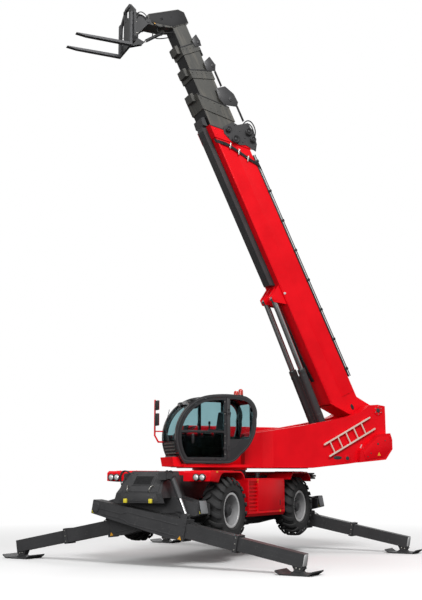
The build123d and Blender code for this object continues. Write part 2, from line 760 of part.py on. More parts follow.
# Ladder stowed on the left side beam
ladder_x = side_outer + 45
ladder_low = (2400, 2350)
ladder_angle = atan2(674, 1300)
ladder_length = 1460
ladder_width = 300
ladder_rail = 34
rung_count = 5
rung_first = 180
rung_pitch = 246
ladder_frame = Plane(
    origin=turret.from_local_coords(Vector(ladder_x, *ladder_low)),
    x_dir=turret.y_dir * cos(ladder_angle) + turret.z_dir * sin(ladder_angle),
    z_dir=turret.x_dir,
)
with BuildPart() as ladder:
    for rail_v in (-ladder_width / 2, ladder_width / 2):
        with BuildSketch(ladder_frame):
            with Locations((ladder_length / 2, rail_v)):
                Rectangle(ladder_length, ladder_rail)
        extrude(amount=28)
    for index in range(rung_count):
        with BuildSketch(ladder_frame):
            with Locations((rung_first + index * rung_pitch, 0)):
                Rectangle(26, ladder_width)
        extrude(amount=24)
    for bracket_u in (120, ladder_length - 180):
        with BuildSketch(ladder_frame):
            with Locations((bracket_u, ladder_width / 2), (bracket_u, -ladder_width / 2)):
                Rectangle(60, 20)
        extrude(amount=-45 + seat_gap)
save(ladder, "ladder")

# Cab: a rounded shell with its door on the left
def cab_outline(inset):
    """Closed side outline of the cab, drawn in the turret's Y and Z, moved in by the inset."""
    with BuildSketch(Plane.XY) as outline:
        with BuildLine():
            ThreePointArc((-1400, cab_floor), (-1600, cab_floor + 450), (-1545, cab_roof - 600))
            ThreePointArc((-1545, cab_roof - 600), (-1300, cab_roof - 250), (-860, cab_roof - 25))
            ThreePointArc((-860, cab_roof - 25), (-450, cab_roof + 14), (60, cab_roof - 20))
            ThreePointArc((60, cab_roof - 20), (245, cab_roof - 140), (325, cab_roof - 520))
            ThreePointArc((325, cab_roof - 520), (230, cab_floor + 520), (-60, cab_floor + 200))
            ThreePointArc((-60, cab_floor + 200), (-210, cab_floor + 60), (-390, cab_floor))
            Line((-390, cab_floor), (-1400, cab_floor))
        make_face()
        if inset:
            offset(amount=-inset, kind=Kind.ARC, mode=Mode.REPLACE)
    return outline.sketch


hinge_gap = door_gap / 2
hinge_out = 17
hinge_radius = 16
pillar_rear = door_hinge_y + 80
sill = cab_floor + 470
brow = cab_roof - 220
hinge_rows = (cab_floor + 320, cab_roof - 370)
pane_outer = 22
pane_inner = 30
screen_x = (cab_inner + 75, cab_outer - 75)


def trimmed(shape, y_low=-3000, y_high=3000, z_low=0, z_high=5000):
    """The part of a side outline between two upright and two level lines."""
    with BuildSketch(Plane.XY) as cut:
        add(shape)
        with Locations(((y_low + y_high) / 2, (z_low + z_high) / 2)):
            Rectangle(y_high - y_low, z_high - z_low, mode=Mode.INTERSECT)
    return cut.sketch


doorway = trimmed(cab_outline(75 - door_gap), y_high=door_hinge_y + hinge_gap)
door_shape = trimmed(cab_outline(75), y_high=door_hinge_y - hinge_gap)
door_rail = cab_floor + 680
door_upper = trimmed(cab_outline(130), y_high=door_hinge_y - 70, z_low=door_rail + 25)
door_lower = trimmed(cab_outline(130), y_high=door_hinge_y - 70, z_high=door_rail - 25)
quarter = trimmed(cab_outline(100), y_low=pillar_rear, z_low=sill + 60)
far_side = trimmed(cab_outline(120), z_low=sill + 150)
# openings in the curved wall: y from and to, z from and to
wall_openings = [
    ("windscreen", -2000, -1180, sill, brow),
    ("roof", -1120, -560, brow, cab_roof + 180),
    ("rear", 90, 900, sill + 100, brow + 50),
]


def opening(y_low, y_high, z_low, z_high, inset=0):
    """A block through the curved wall of the cab, smaller by the inset on every side."""
    with BuildPart(mode=Mode.PRIVATE) as block:
        with BuildSketch(side(turret, screen_x[0] + inset)):
            with Locations(((y_low + y_high) / 2, (z_low + z_high) / 2)):
                Rectangle(y_high - y_low - 2 * inset, z_high - z_low - 2 * inset)
        extrude(amount=screen_x[1] - screen_x[0] - 2 * inset)
    return block.part


opening_blocks = [opening(*row[1:]) for row in wall_openings]
pane_blocks = [opening(*row[1:], inset=seat_gap) for row in wall_openings]
cab_inside = cab_outline(cab_wall)
with BuildPart() as cab_shell:
    with BuildSketch(side(turret, cab_inner)):
        add(cab_outline(0))
    extrude(amount=cab_outer - cab_inner)
    with BuildSketch(side(turret, cab_inner + cab_wall)):
        add(cab_inside)
    extrude(amount=cab_outer - cab_inner - 2 * cab_wall, mode=Mode.SUBTRACT)
    with BuildSketch(side(turret, cab_outer - cab_wall - 5)):
        add(doorway)
        add(quarter)
    extrude(amount=cab_wall + 10, mode=Mode.SUBTRACT)
    with BuildSketch(side(turret, cab_inner - 5)):
        add(far_side)
    extrude(amount=cab_wall + 10, mode=Mode.SUBTRACT)
    for block in opening_blocks:
        add(block, mode=Mode.SUBTRACT)
    # fixed halves of the door's hinges, with their pins
    for hinge_z in hinge_rows:
        with BuildSketch(level(turret, hinge_z - 60)):
            with Locations((cab_outer + hinge_out, door_hinge_y)):
                Circle(8)
        extrude(amount=120)
        for knuckle_z in (hinge_z - 60, hinge_z + 30):
            with BuildSketch(level(turret, knuckle_z)):
                with Locations((cab_outer + hinge_out, door_hinge_y)):
                    Circle(hinge_radius)
                with Locations((cab_outer + 7, door_hinge_y + 30)):
                    Rectangle(16, 60)
            extrude(amount=30)
save(cab_shell, "cab_shell")

with BuildPart() as cab_glass:
    with BuildSketch(side(turret, screen_x[0])):
        add(cab_outline(pane_outer))
        add(cab_outline(pane_inner), mode=Mode.SUBTRACT)
    extrude(amount=screen_x[1] - screen_x[0])
    with BuildPart(mode=Mode.PRIVATE) as windows:
        for block in pane_blocks:
            add(block)
    add(windows.part, mode=Mode.INTERSECT)
    with BuildSketch(side(turret, cab_outer - pane_inner)):
        add(quarter)
        offset(amount=-seat_gap, mode=Mode.REPLACE)
    extrude(amount=pane_inner - pane_outer)
    with BuildSketch(side(turret, cab_inner + pane_outer)):
        add(far_side)
        offset(amount=-seat_gap, mode=Mode.REPLACE)
    extrude(amount=pane_inner - pane_outer)
save(cab_glass, "cab_glass")

with BuildPart() as cab_door:
    with BuildSketch(side(turret, cab_outer - 50)):
        add(door_shape)
        add(door_upper, mode=Mode.SUBTRACT)
        add(door_lower, mode=Mode.SUBTRACT)
    extrude(amount=50)
    for hinge_z in hinge_rows:
        with BuildSketch(level(turret, hinge_z - 30 + seat_gap)):
            with Locations((cab_outer + hinge_out, door_hinge_y)):
                Circle(hinge_radius)
            with Locations((cab_outer + 6, door_hinge_y - 30)):
                Rectangle(14, 60)
            with Locations((cab_outer + hinge_out, door_hinge_y)):
                Circle(8 + pin_fit, mode=Mode.SUBTRACT)
        extrude(amount=60 - 2 * seat_gap)
save(cab_door, "cab_door")

with BuildPart() as door_glass:
    for pane in (door_upper, door_lower):
        with BuildSketch(side(turret, cab_outer - pane_inner)):
            add(pane)
            offset(amount=-seat_gap, mode=Mode.REPLACE)
        extrude(amount=pane_inner - pane_outer)
save(door_glass, "door_glass")

# Seat, armrests and console on a floor plate
seat_x = (cab_inner + cab_outer) / 2
mat_low = cab_floor + cab_wall + seat_gap
with BuildPart() as cab_interior:
    with BuildSketch(level(turret, mat_low)):
        with Locations((seat_x, -860)):
            Rectangle(620, 860)
    extrude(amount=15)
    with BuildSketch(level(turret, mat_low)):
        with Locations((seat_x, -610)):
            Rectangle(360, 380)
    extrude(amount=360)
    with BuildSketch(side(turret, seat_x)):
        Polygon(
            (-800, mat_low + 330), (-810, mat_low + 430), (-330, mat_low + 400), (-250, mat_low + 1000),
            (-130, mat_low + 990), (-270, mat_low + 300), align=None,
        )
    extrude(amount=230, both=True)
    with BuildSketch(side(turret, seat_x)):
        Polygon(
            (-1320, mat_low), (-1430, mat_low + 430), (-1270, mat_low + 560), (-1180, mat_low), align=None
        )
    extrude(amount=200, both=True)
save(cab_interior, "cab_interior")

# Grab rail with two mirrors at the cab's front corner, and two beacons on its roof
rail_x = cab_inner + 25
rail_radius = 19
with BuildPart() as cab_fittings:
    with BuildLine(side(turret, rail_x)) as rail_path:
        Polyline((-1595, sill), (-1700, sill), (-1785, sill + 140), (-1785, cab_roof - 100))
    with BuildSketch(Plane(origin=rail_path.line @ 0, z_dir=rail_path.line % 0)):
        Circle(rail_radius)
    sweep(transition=Transition.RIGHT)
    with BuildSketch(front(turret, -1600)):
        with Locations((rail_x, sill + 230)):
            Circle(14)
    extrude(amount=180)
    for mirror_z, mirror_half in ((cab_roof - 230, 100), (cab_roof - 540, 130)):
        with BuildSketch(front(turret, -1800)):
            with Locations((rail_x + 130, mirror_z)):
                Rectangle(150, 2 * mirror_half)
        extrude(amount=-40)
        with BuildSketch(side(turret, rail_x)):
            with Locations((-1785, mirror_z)):
                Circle(10)
        extrude(amount=100)
    for beacon_x, beacon_y in ((1000, 60), (640, 120)):
        with BuildSketch(level(turret, cab_roof - 80)):
            with Locations((beacon_x, beacon_y)):
                Circle(48)
        extrude(amount=220)
    with BuildSketch(side(turret, cab_inner)):
        add(cab_outline(-seat_gap))
    extrude(amount=cab_outer - cab_inner, mode=Mode.SUBTRACT)
save(cab_fittings, "cab_fittings")

# Boom: a base box with its foot, and four sections that slide out of one another
head_margin = 22
block_ahead = 70        # stop blocks under the heads
block_drop = 110
for row, (name, width, height, low, tail, head, slant, head_length) in enumerate(section_table):
    high = low + height
    with BuildPart() as section:
        with BuildSketch(side(boom)):
            if name == "base":
                Polygon(
                    (head, low), (head - slant, low + slant), (7300, high), (470, high), (90, 120),
                    (-110, -100), (180, -560), (620, low), align=None,
                )
                Circle(150)
            else:
                Polygon((tail, low), (head, low), (head - slant, high), (tail, high), align=None)
        extrude(amount=width / 2, both=True)
        if name == "base":
            with BuildSketch(side(boom)):
                Circle(120)
            extrude(amount=trough_half - seat_gap, both=True)
            with BuildSketch(side(boom)):
                Circle(boom_pin_radius + pin_fit)
            extrude(amount=trough_half, both=True, mode=Mode.SUBTRACT)
        hollow_from = 700 if name == "base" else tail
        with BuildSketch(front(boom, hollow_from)):
            with Locations((0, (low + high) / 2)):
                Rectangle(width - 2 * plate, height - 2 * plate)
        extrude(amount=hollow_from - head - 10, mode=Mode.SUBTRACT)
        if row < len(section_table) - 1:
            _, next_width, next_height, next_low, _, _, _, _ = section_table[row + 1]
            with BuildSketch(side(boom)):
                Polygon(
                    (head - head_length, low - head_margin), (head, low - head_margin),
                    (head - slant, high + head_margin), (head - slant - head_length, high + head_margin),
                    align=None,
                )
            extrude(amount=width / 2 + head_margin, both=True)
            if name != "base":
                with BuildSketch(side(boom)):
                    Polygon(
                        (head - 150, low - head_margin / 2), (head, low - head_margin / 2), (head, low - 30),
                        (head + block_ahead, low - 30), (head + block_ahead, low - block_drop),
                        (head - 120, low - block_drop), align=None,
                    )
                extrude(amount=170, both=True)
            with BuildSketch(front(boom, tail)):
                with Locations((0, next_low + next_height / 2)):
                    Rectangle(next_width + 2 * seat_gap, next_height + 2 * seat_gap)
            extrude(amount=tail - head - 10, mode=Mode.SUBTRACT)
        if name == "base":
            # lugs that take the eyes of the lift cylinders
            for sign in (1, -1):
                for offset_x in (-lift_eye_half - seat_gap - lift_lug, lift_eye_half + seat_gap):
                    with BuildSketch(side(boom, sign * lift_spacing / 2 + offset_x)):
                        Polygon(
                            (lift_eye_along - 260, low + 5), (lift_eye_along - 70, lift_eye_up - 75),
                            (lift_eye_along + 70, lift_eye_up - 75), (lift_eye_along + 260, low + 5),
                            align=None,
                        )
                    extrude(amount=lift_lug)
                # caps of the eye's pin on the outer faces of the lugs
                for offset_x in (-lift_eye_half - seat_gap - lift_lug - 12, lift_eye_half + seat_gap + lift_lug):
                    with BuildSketch(side(boom, sign * lift_spacing / 2 + offset_x)):
                        with Locations((lift_eye_along, lift_eye_up)):
                            Circle(58)
                    extrude(amount=12)
        if row == len(section_table) - 1:
            # drooping neck with the bore of the tilt pin and the ears of the tilt cylinder
            with BuildSketch(side(boom)):
                Polygon(
                    (head - 30, low - 15), (head - 30, high + neck_rise), (head + 255, high + neck_rise),
                    (head + 360, -390), (head + 445, -1200), (tilt_along + neck_boss - 2, tilt_up + 15),
                    (tilt_along, tilt_up - neck_boss), (tilt_along + 2 - neck_boss, tilt_up - 15),
                    (head + 51, -995), align=None,
                )
                with Locations((tilt_along, tilt_up)):
                    Circle(neck_boss)
            extrude(amount=neck_width / 2, both=True)
            with BuildSketch(side(boom)):
                with Locations((tilt_along, tilt_up)):
                    Circle(tilt_pin_radius + pin_fit)
            extrude(amount=neck_width, both=True, mode=Mode.SUBTRACT)
            tilt_base = carriage_frame.from_local_coords(Vector(0, -tilt_base_back, -tilt_base_down))
            tilt_base = boom.to_local_coords(tilt_base)
            for ear_x in (-ear_gap - ear, ear_gap):
                with BuildSketch(side(boom, ear_x)):
                    with Locations((tilt_base.Y, tilt_base.Z)):
                        Circle(42)
                    Polygon(
                        (tilt_base.Y - 20, tilt_base.Z - 42), (head + 120, tilt_base.Z - 70),
                        (head + 120, tilt_base.Z + 110), (tilt_base.Y - 20, tilt_base.Z + 42), align=None,
                    )
                extrude(amount=ear)
            with BuildSketch(side(boom, -ear_gap - ear)):
                with Locations((tilt_base.Y, tilt_base.Z)):
                    Circle(18)
            extrude(amount=2 * (ear_gap + ear))
    save(section, f"boom_{name}")

base_low = section_table[0][3]
base_high = base_low + section_table[0][2]
base_head = section_table[0][5]
cheek_in = section_table[0][1] / 2 + head_margin + seat_gap
cheek_wall = 18
# hose sheaves on the head plates: along, up, radius
sheave_rows = [(7690, -545, 60), (7400, -470, 85), (7464, -42, 80), (7250, -20, 60)]
with BuildPart() as boom_tray:
    with BuildSketch(side(boom)):
        Polygon(
            (lift_eye_along + 270, base_low - seat_gap), (base_head + 120, base_low - seat_gap - 25),
            (base_head + 120, -1010), (base_head - 60, -1060), (lift_eye_along + 330, -1060), align=None,
        )
    extrude(amount=150, both=True)
    # roller block ahead of the base's head
    with BuildSketch(side(boom)):
        Polygon(
            (base_head + 10, base_low - seat_gap - 25), (base_head + 10, base_low - 2),
            (base_head + 240, base_low - 2), (base_head + 240, base_low - 90), (base_head + 60, base_low - 110),
            align=None,
        )
    extrude(amount=220, both=True)
    with BuildSketch(side(boom, 230)):
        Polygon(
            (1000, base_high + seat_gap), (6850, base_high + seat_gap), (6800, base_high + 100),
            (1060, base_high + 100), align=None,
        )
    extrude(amount=100)
    # plates on both sides of the head, with the hose sheaves and the bar between them
    for sign in (1, -1):
        with BuildSketch(side(boom, sign * cheek_in)):
            Polygon(
                (7790, -640), (7830, -344), (7720, -240), (7684, 55), (7420, 85), (7120, 50), (6960, -60),
                (7190, -250), (7240, -400), (7400, -580), (7640, -680), align=None,
            )
        extrude(amount=sign * cheek_wall)
        with BuildSketch(side(boom, sign * cheek_in)):
            for sheave_along, sheave_up, sheave_radius in sheave_rows:
                with Locations((sheave_along, sheave_up)):
                    Circle(sheave_radius)
        extrude(amount=sign * (cheek_wall + 45))
    with BuildSketch(side(boom, -cheek_in)):
        with Locations((7464, -42)):
            Circle(40)
    extrude(amount=2 * cheek_in)
save(boom_tray, "boom_tray")

# Lift cylinders, one on each side of the middle
lift_closed = 2560
lift_neck = 60          # where the round rod meets its eye
base_at = turret.from_local_coords(Vector(0, lift_base_y, lift_base_z))
lift_run = boom.from_local_coords(Vector(0, lift_eye_along, lift_eye_up)) - base_at
lift_axis = Plane(origin=base_at, x_dir=boom.x_dir, z_dir=boom.x_dir.cross(lift_run))
lift_reach = lift_run.length
lift_tube = lift_closed - 260
with BuildPart() as lift_barrels:
    for sign in (1, -1):
        line = shifted(lift_axis, sign * lift_spacing / 2)
        with BuildSketch(front(line, 110)):
            Circle(lift_barrel)
        extrude(amount=110 - lift_tube)
        with BuildSketch(side(line, -lift_eye_half)):
            Circle(80)
            with Locations((80, 0)):
                Rectangle(100, 120)
            Circle(lift_pin_radius + pin_fit, mode=Mode.SUBTRACT)
        extrude(amount=2 * lift_eye_half)
        with BuildSketch(front(line, 140)):
            Circle(lift_rod + pin_fit)
        extrude(amount=-lift_closed, mode=Mode.SUBTRACT)
save(lift_barrels, "lift_barrels")
with BuildPart() as lift_rods:
    for sign in (1, -1):
        line = shifted(lift_axis, sign * lift_spacing / 2)
        with BuildSketch(front(line, lift_reach - lift_neck)):
            Circle(lift_rod)
        extrude(amount=lift_closed - lift_neck - 340)
        with BuildSketch(side(line, -lift_eye_half)):
            with Locations((lift_reach, 0)):
                Circle(eye_radius)
        extrude(amount=2 * lift_eye_half)
save(lift_rods, "lift_rods")

# Carriage: a plate frame hung on the tilt pin, with the forks hooked on its bars
plate_back = 400
plate_front = 455
with BuildPart() as carriage:
    with BuildSketch(front(carriage_frame, plate_back)):
        Polygon(
            (-150, 390), (150, 390), (500, 90), (560, -600), (500, -700), (-500, -700), (-560, -600),
            (-500, 90), align=None,
        )
        for sign in (1, -1):
            Polygon(
                (sign * 215, 200), (sign * 430, 40), (sign * 470, -480), (sign * 215, -480), align=None,
                mode=Mode.SUBTRACT,
            )
        with Locations((0, 150)):
            Rectangle(240, 300, mode=Mode.SUBTRACT)
    extrude(amount=plate_back - plate_front)
    for sign in (1, -1):
        with BuildSketch(side(carriage_frame, sign * (neck_width / 2 + seat_gap + 12.5))):
            Circle(75)
            Polygon(
                (0, 75), (plate_back + 5, 200), (plate_back + 5, -560), (200, -300), (0, -75), align=None
            )
        extrude(amount=12.5, both=True)
        with BuildSketch(side(carriage_frame, sign * (ear_gap + ear / 2))):
            with Locations((tilt_eye_ahead, -tilt_eye_down)):
                Circle(45)
            Polygon(
                (tilt_eye_ahead, 45 - tilt_eye_down), (plate_back + 5, -300), (plate_back + 5, -650),
                (tilt_eye_ahead, -45 - tilt_eye_down), align=None,
            )
        extrude(amount=ear / 2, both=True)
    with BuildSketch(side(carriage_frame, -neck_width / 2 - 40)):
        Circle(tilt_pin_radius)
    extrude(amount=neck_width + 80)
save(carriage, "carriage")

with BuildPart() as forks:
    for sign in (1, -1):
        with BuildSketch(side(carriage_frame, sign * fork_spacing / 2)):
            with BuildLine():
                FilletPolyline(
                    (plate_front + seat_gap, 60), (plate_front + seat_gap, -fork_drop + 0),
                    (fork_heel + fork_length - 250, -fork_drop), (fork_heel + fork_length, -fork_drop + 30),
                    (fork_heel + fork_length, -fork_drop + 45),
                    (plate_front + seat_gap + fork_thickness, -fork_drop + fork_thickness + 10),
                    (plate_front + seat_gap + fork_thickness, 60), radius=7, close=True,
                )
            make_face()
        extrude(amount=fork_width / 2, both=True)
save(forks, "forks")

tilt_from = boom.from_local_coords(tilt_base)
tilt_run = carriage_frame.from_local_coords(Vector(0, tilt_eye_ahead, -tilt_eye_down)) - tilt_from
tilt_line = Plane(origin=tilt_from, x_dir=carriage_frame.x_dir, z_dir=carriage_frame.x_dir.cross(tilt_run))
tilt_reach = tilt_run.length
with BuildPart() as tilt_barrel:
    with BuildSketch(front(tilt_line, 45)):
        Circle(40)
    extrude(amount=45 - 490)
    with BuildSketch(side(tilt_line, -eye_half)):
        Circle(38)
        with Locations((30, 0)):
            Rectangle(50, 60)
        Circle(18 + pin_fit, mode=Mode.SUBTRACT)
    extrude(amount=2 * eye_half)
    with BuildSketch(front(tilt_line, 45)):
        Circle(22 + pin_fit)
    extrude(amount=-500, mode=Mode.SUBTRACT)
save(tilt_barrel, "tilt_barrel")
with BuildPart() as tilt_rod:
    with BuildSketch(front(tilt_line, tilt_reach - 25)):
        Circle(22)
    extrude(amount=511)
    with BuildSketch(side(tilt_line, -eye_half)):
        with Locations((tilt_reach, 0)):
            Circle(34)
    extrude(amount=2 * eye_half)
save(tilt_rod, "tilt_rod")
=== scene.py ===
import json
import math

import bpy
from mathutils import Matrix, Vector


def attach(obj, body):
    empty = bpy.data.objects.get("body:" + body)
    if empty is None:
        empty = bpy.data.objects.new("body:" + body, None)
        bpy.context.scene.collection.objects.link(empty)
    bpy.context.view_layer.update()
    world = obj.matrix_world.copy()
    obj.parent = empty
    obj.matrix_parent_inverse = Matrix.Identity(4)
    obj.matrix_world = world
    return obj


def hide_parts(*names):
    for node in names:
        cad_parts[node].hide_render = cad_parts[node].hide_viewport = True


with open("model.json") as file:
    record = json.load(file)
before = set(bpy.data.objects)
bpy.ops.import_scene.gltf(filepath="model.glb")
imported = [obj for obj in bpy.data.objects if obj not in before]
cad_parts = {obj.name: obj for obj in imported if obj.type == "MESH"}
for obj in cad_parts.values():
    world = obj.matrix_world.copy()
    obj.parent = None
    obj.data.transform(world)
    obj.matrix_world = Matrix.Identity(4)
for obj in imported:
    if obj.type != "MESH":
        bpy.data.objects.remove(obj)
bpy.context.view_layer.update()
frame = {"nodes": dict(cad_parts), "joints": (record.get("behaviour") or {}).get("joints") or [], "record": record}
jointOf = {joint["name"]: joint for joint in frame["joints"]}
print("model loaded")


# where things are: every frame comes from a joint of the machine

def frameAt(origin, xDir, yDir):
    x = Vector(xDir).normalized()
    z = x.cross(Vector(yDir)).normalized()
    turned = Matrix((x, z.cross(x), z)).transposed().to_4x4()
    turned.translation = Vector(origin)
    return turned


luff = jointOf["luff"]
boomDir = Vector(jointOf["extend"]["axis"])
boomFrame = frameAt(luff["pos_m"], luff["axis"], boomDir)
middle = Vector(jointOf["slew"]["pos_m"])
chassisFrame = frameAt(middle, (1, 0, 0), (0, 1, 0))
rearFrame = frameAt(middle, (-1, 0, 0), (0, -1, 0))
ahead = Vector((boomDir.x, boomDir.y, 0)).normalized()
turretFrame = frameAt(middle, -Vector(luff["axis"]), -ahead)
carriageFrame = frameAt(jointOf["tilt"]["pos_m"], jointOf["tilt"]["axis"], ahead)
ends = {"front": chassisFrame, "rear": rearFrame}
cornerNames = ("front_left", "front_right", "rear_left", "rear_right")
armFrames = {
    name: frameAt(
        jointOf["stabiliser_swing_" + name]["pos_m"],
        jointOf["stabiliser_swing_" + name]["axis"],
        jointOf["stabiliser_extend_" + name]["axis"],
    )
    for name in cornerNames
}
# places of the pins in the turret's frame, and the lift cylinders' own frame
boomPin, liftPin = (3.900, 3.330), (3.000, 2.180)
liftBase = turretFrame @ Vector((0, *liftPin))
liftEye = boomFrame @ Vector((0, 3.500, -1.150))
liftFrame = frameAt(liftBase, luff["axis"], liftEye - liftBase)
# the frame that each body's pieces are drawn in
frameOf = {"chassis": chassisFrame, "turret": turretFrame, "door": turretFrame, "carriage": carriageFrame,
           "lift_barrels": liftFrame, "boom": boomFrame}
frameOf.update({"section_" + number: boomFrame for number in "2345"})
for part in ("arm_", "arm_middle_", "arm_tip_"):
    frameOf.update({part + name: armFrames[name] for name in cornerNames})

# modelling helpers


def deselectAll():
    if bpy.context.object and bpy.context.object.mode != "OBJECT":
        bpy.ops.object.mode_set(mode="OBJECT")
    bpy.ops.object.select_all(action="DESELECT")


def pick(*pieces):
    deselectAll()
    for piece in pieces:
        piece.select_set(True)
    bpy.context.view_layer.objects.active = pieces[0]


def roundEdges(piece, width, segments=2, angle=35):
    pick(piece)
    bevel = piece.modifiers.new("edges", "BEVEL")
    bevel.width = width
    bevel.segments = segments
    bevel.limit_method = "ANGLE"
    bevel.angle_limit = math.radians(angle)
    bpy.ops.object.modifier_apply(modifier="edges")
    return piece


def block(size, at, bevel=0.004, turn=(0, 0, 0)):
    deselectAll()
    bpy.ops.mesh.primitive_cube_add(size=1, location=at, rotation=turn, scale=size)
    piece = bpy.context.object
    bpy.ops.object.transform_apply(location=True, rotation=True, scale=True)
    return roundEdges(piece, bevel) if bevel else piece


turnTo = {"x": (0, math.pi / 2, 0), "y": (math.pi / 2, 0, 0), "z": (0, 0, 0)}


def rod(radius, length, at, axis="z", sides=24, bevel=0.003):
    deselectAll()
    bpy.ops.mesh.primitive_cylinder_add(
        radius=radius, depth=length, location=at, rotation=turnTo[axis], vertices=sides
    )
    piece = bpy.context.object
    bpy.ops.object.transform_apply(location=True, rotation=True, scale=True)
    return roundEdges(piece, bevel) if bevel else piece


def outlineMesh(outline, axis, at, filled):
    # points of an outline drawn across an axis
    deselectAll()
    bpy.ops.mesh.primitive_circle_add(vertices=len(outline), fill_type="NGON" if filled else "NOTHING")
    piece = bpy.context.object
    place = {
        "x": lambda a, b: (at, a, b),
        "y": lambda a, b: (a, at, b),
        "z": lambda a, b: (a, b, at),
    }[axis]
    for vertex, (a, b) in zip(piece.data.vertices, outline):
        vertex.co = place(a, b)
    return piece


def facesOut(piece):
    pick(piece)
    bpy.ops.object.mode_set(mode="EDIT")
    bpy.ops.mesh.select_all(action="SELECT")
    bpy.ops.mesh.normals_make_consistent(inside=False)
    bpy.ops.object.mode_set(mode="OBJECT")
    return piece


def pressed(outline, axis, start, depth, bevel=0.003):
    # a plate: the outline, filled and extruded along the axis
    piece = outlineMesh(outline, axis, start, True)
    bpy.ops.object.mode_set(mode="EDIT")
    bpy.ops.mesh.select_all(action="SELECT")
    move = {"x": (depth, 0, 0), "y": (0, depth, 0), "z": (0, 0, depth)}[axis]
    bpy.ops.mesh.extrude_region_move(TRANSFORM_OT_translate={"value": move})
    facesOut(piece)
    return roundEdges(piece, bevel) if bevel else piece


def oblong(left, right, low, high):
    return [(left, low), (right, low), (right, high), (left, high)]


def spun(outline, steps):
    # a ring: a closed outline of (along, radius) points spun round the X axis
    piece = outlineMesh(outline, "z", 0, False)
    bpy.ops.object.mode_set(mode="EDIT")
    bpy.ops.mesh.select_all(action="SELECT")
    bpy.ops.mesh.spin(steps=steps, angle=2 * math.pi, center=(0, 0, 0), axis=(1, 0, 0))
    bpy.ops.mesh.select_all(action="SELECT")
    bpy.ops.mesh.remove_doubles(threshold=0.0001)
    return facesOut(piece)


def arcPoints(first, between, last, count):
    # points along the circle through three places, without the last one
    (ax, ay), (bx, by), (cx, cy) = first, between, last
    a, b, c = (x * x + y * y for x, y in (first, between, last))
    d = 2 * (ax * (by - cy) + bx * (cy - ay) + cx * (ay - by))
    ux = (a * (by - cy) + b * (cy - ay) + c * (ay - by)) / d
    uy = (a * (cx - bx) + b * (ax - cx) + c * (bx - ax)) / d
    start, end = math.atan2(ay - uy, ax - ux), math.atan2(cy - uy, cx - ux)
    turn = (end - start + math.pi) % (2 * math.pi) - math.pi
    radius = math.hypot(ax - ux, ay - uy)
    angles = [start + turn * index / count for index in range(count)]
    return [(ux + radius * math.cos(angle), uy + radius * math.sin(angle)) for angle in angles]


def hose(points, radius, closed=False):
    # a smooth tube through the points: a hose fixed at both ends, or a closed ring
    deselectAll()
    bpy.ops.curve.primitive_nurbs_path_add()
    curve = bpy.context.object
    curve.data.splines.clear()
    spline = curve.data.splines.new("NURBS")
    spline.points.add(len(points) - 1)
    for point, place in zip(spline.points, points):
        point.co = (*place, 1)
    spline.order_u = 3
    spline.use_endpoint_u = not closed
    spline.use_cyclic_u = closed
    spline.resolution_u = 3 if closed else 5
    curve.data.bevel_depth = radius
    curve.data.bevel_resolution = 3
    curve.data.use_fill_caps = not closed
    bpy.ops.object.convert(target="MESH")
    return bpy.context.object


def joined(*pieces):
    pick(*pieces)
    if len(pieces) > 1:
        bpy.ops.object.join()
    return bpy.context.object


def copied(piece, move):
    # a copy with its own mesh, moved by a matrix
    twin = piece.copy()
    twin.data = piece.data.copy()
    bpy.context.collection.objects.link(twin)
    twin.data.transform(move)
    return twin


def moved(piece, move):
    piece.data.transform(move)
    return piece


acrossX = Matrix.Scale(-1, 4, (1, 0, 0))


def twinned(parts):
    # the parts of one side together with their mirror images on the other
    return parts + [facesOut(copied(part, acrossX)) for part in parts]


def settle(parts, name, body, finish, place=None, angle=40):
    # puts a finished piece, or a list of its parts, in its frame and on its body
    piece = joined(*parts) if isinstance(parts, list) else parts
    pick(piece)
    bpy.ops.object.shade_smooth_by_angle(angle=math.radians(angle))
    piece.data.transform(place or frameOf[body])
    piece.name = name
    piece.data.name = name
    piece.data.materials.clear()
    piece.data.materials.append(finishes[finish])
    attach(piece, body)
    return piece


# finishes

def nodeTree(name):
    material = bpy.data.materials.new(name)
    material.use_nodes = True
    nodes = material.node_tree.nodes
    links = material.node_tree.links
    return material, nodes, links, nodes["Principled BSDF"]


def noiseNode(nodes, links, coordinates, scale, detail=3.0):
    noise = nodes.new("ShaderNodeTexNoise")
    noise.inputs["Scale"].default_value = scale
    noise.inputs["Detail"].default_value = detail
    links.new(coordinates, noise.inputs["Vector"])
    return noise.outputs["Fac"]


def ramp(nodes, links, value, low, high, colorLow, colorHigh):
    # a colour ramp between two levels of a value
    node = nodes.new("ShaderNodeValToRGB")
    node.color_ramp.elements[0].position = low
    node.color_ramp.elements[1].position = high
    node.color_ramp.elements[0].color = (*colorLow, 1)
    node.color_ramp.elements[1].color = (*colorHigh, 1)
    links.new(value, node.inputs["Fac"])
    return node.outputs["Color"]


def bumpFrom(nodes, links, height, strength, distance, shader):
    bump = nodes.new("ShaderNodeBump")
    bump.inputs["Strength"].default_value = strength
    bump.inputs["Distance"].default_value = distance
    links.new(height, bump.inputs["Height"])
    links.new(bump.outputs["Normal"], shader.inputs["Normal"])


def blended(nodes, links, tone, mask, color):
    # lays a second colour over a tone where the mask is bright
    mix = nodes.new("ShaderNodeMix")
    mix.data_type = "RGBA"
    mix.inputs["B"].default_value = (*color, 1)
    links.new(mask, mix.inputs["Factor"])
    links.new(tone, mix.inputs["A"])
    return mix.outputs["Result"]


def mathNode(nodes, links, kind, operation, *values):
    # a maths node over one or two values
    node = nodes.new(kind)
    node.operation = operation
    for index, value in enumerate(values):
        links.new(value, node.inputs[index])
    return node.outputs["Value"]


def shaderMix(nodes, links, share, first, second):
    mix = nodes.new("ShaderNodeMixShader")
    links.new(share, mix.inputs["Fac"])
    links.new(first, mix.inputs[1])
    links.new(second, mix.inputs[2])
    return mix.outputs["Shader"]


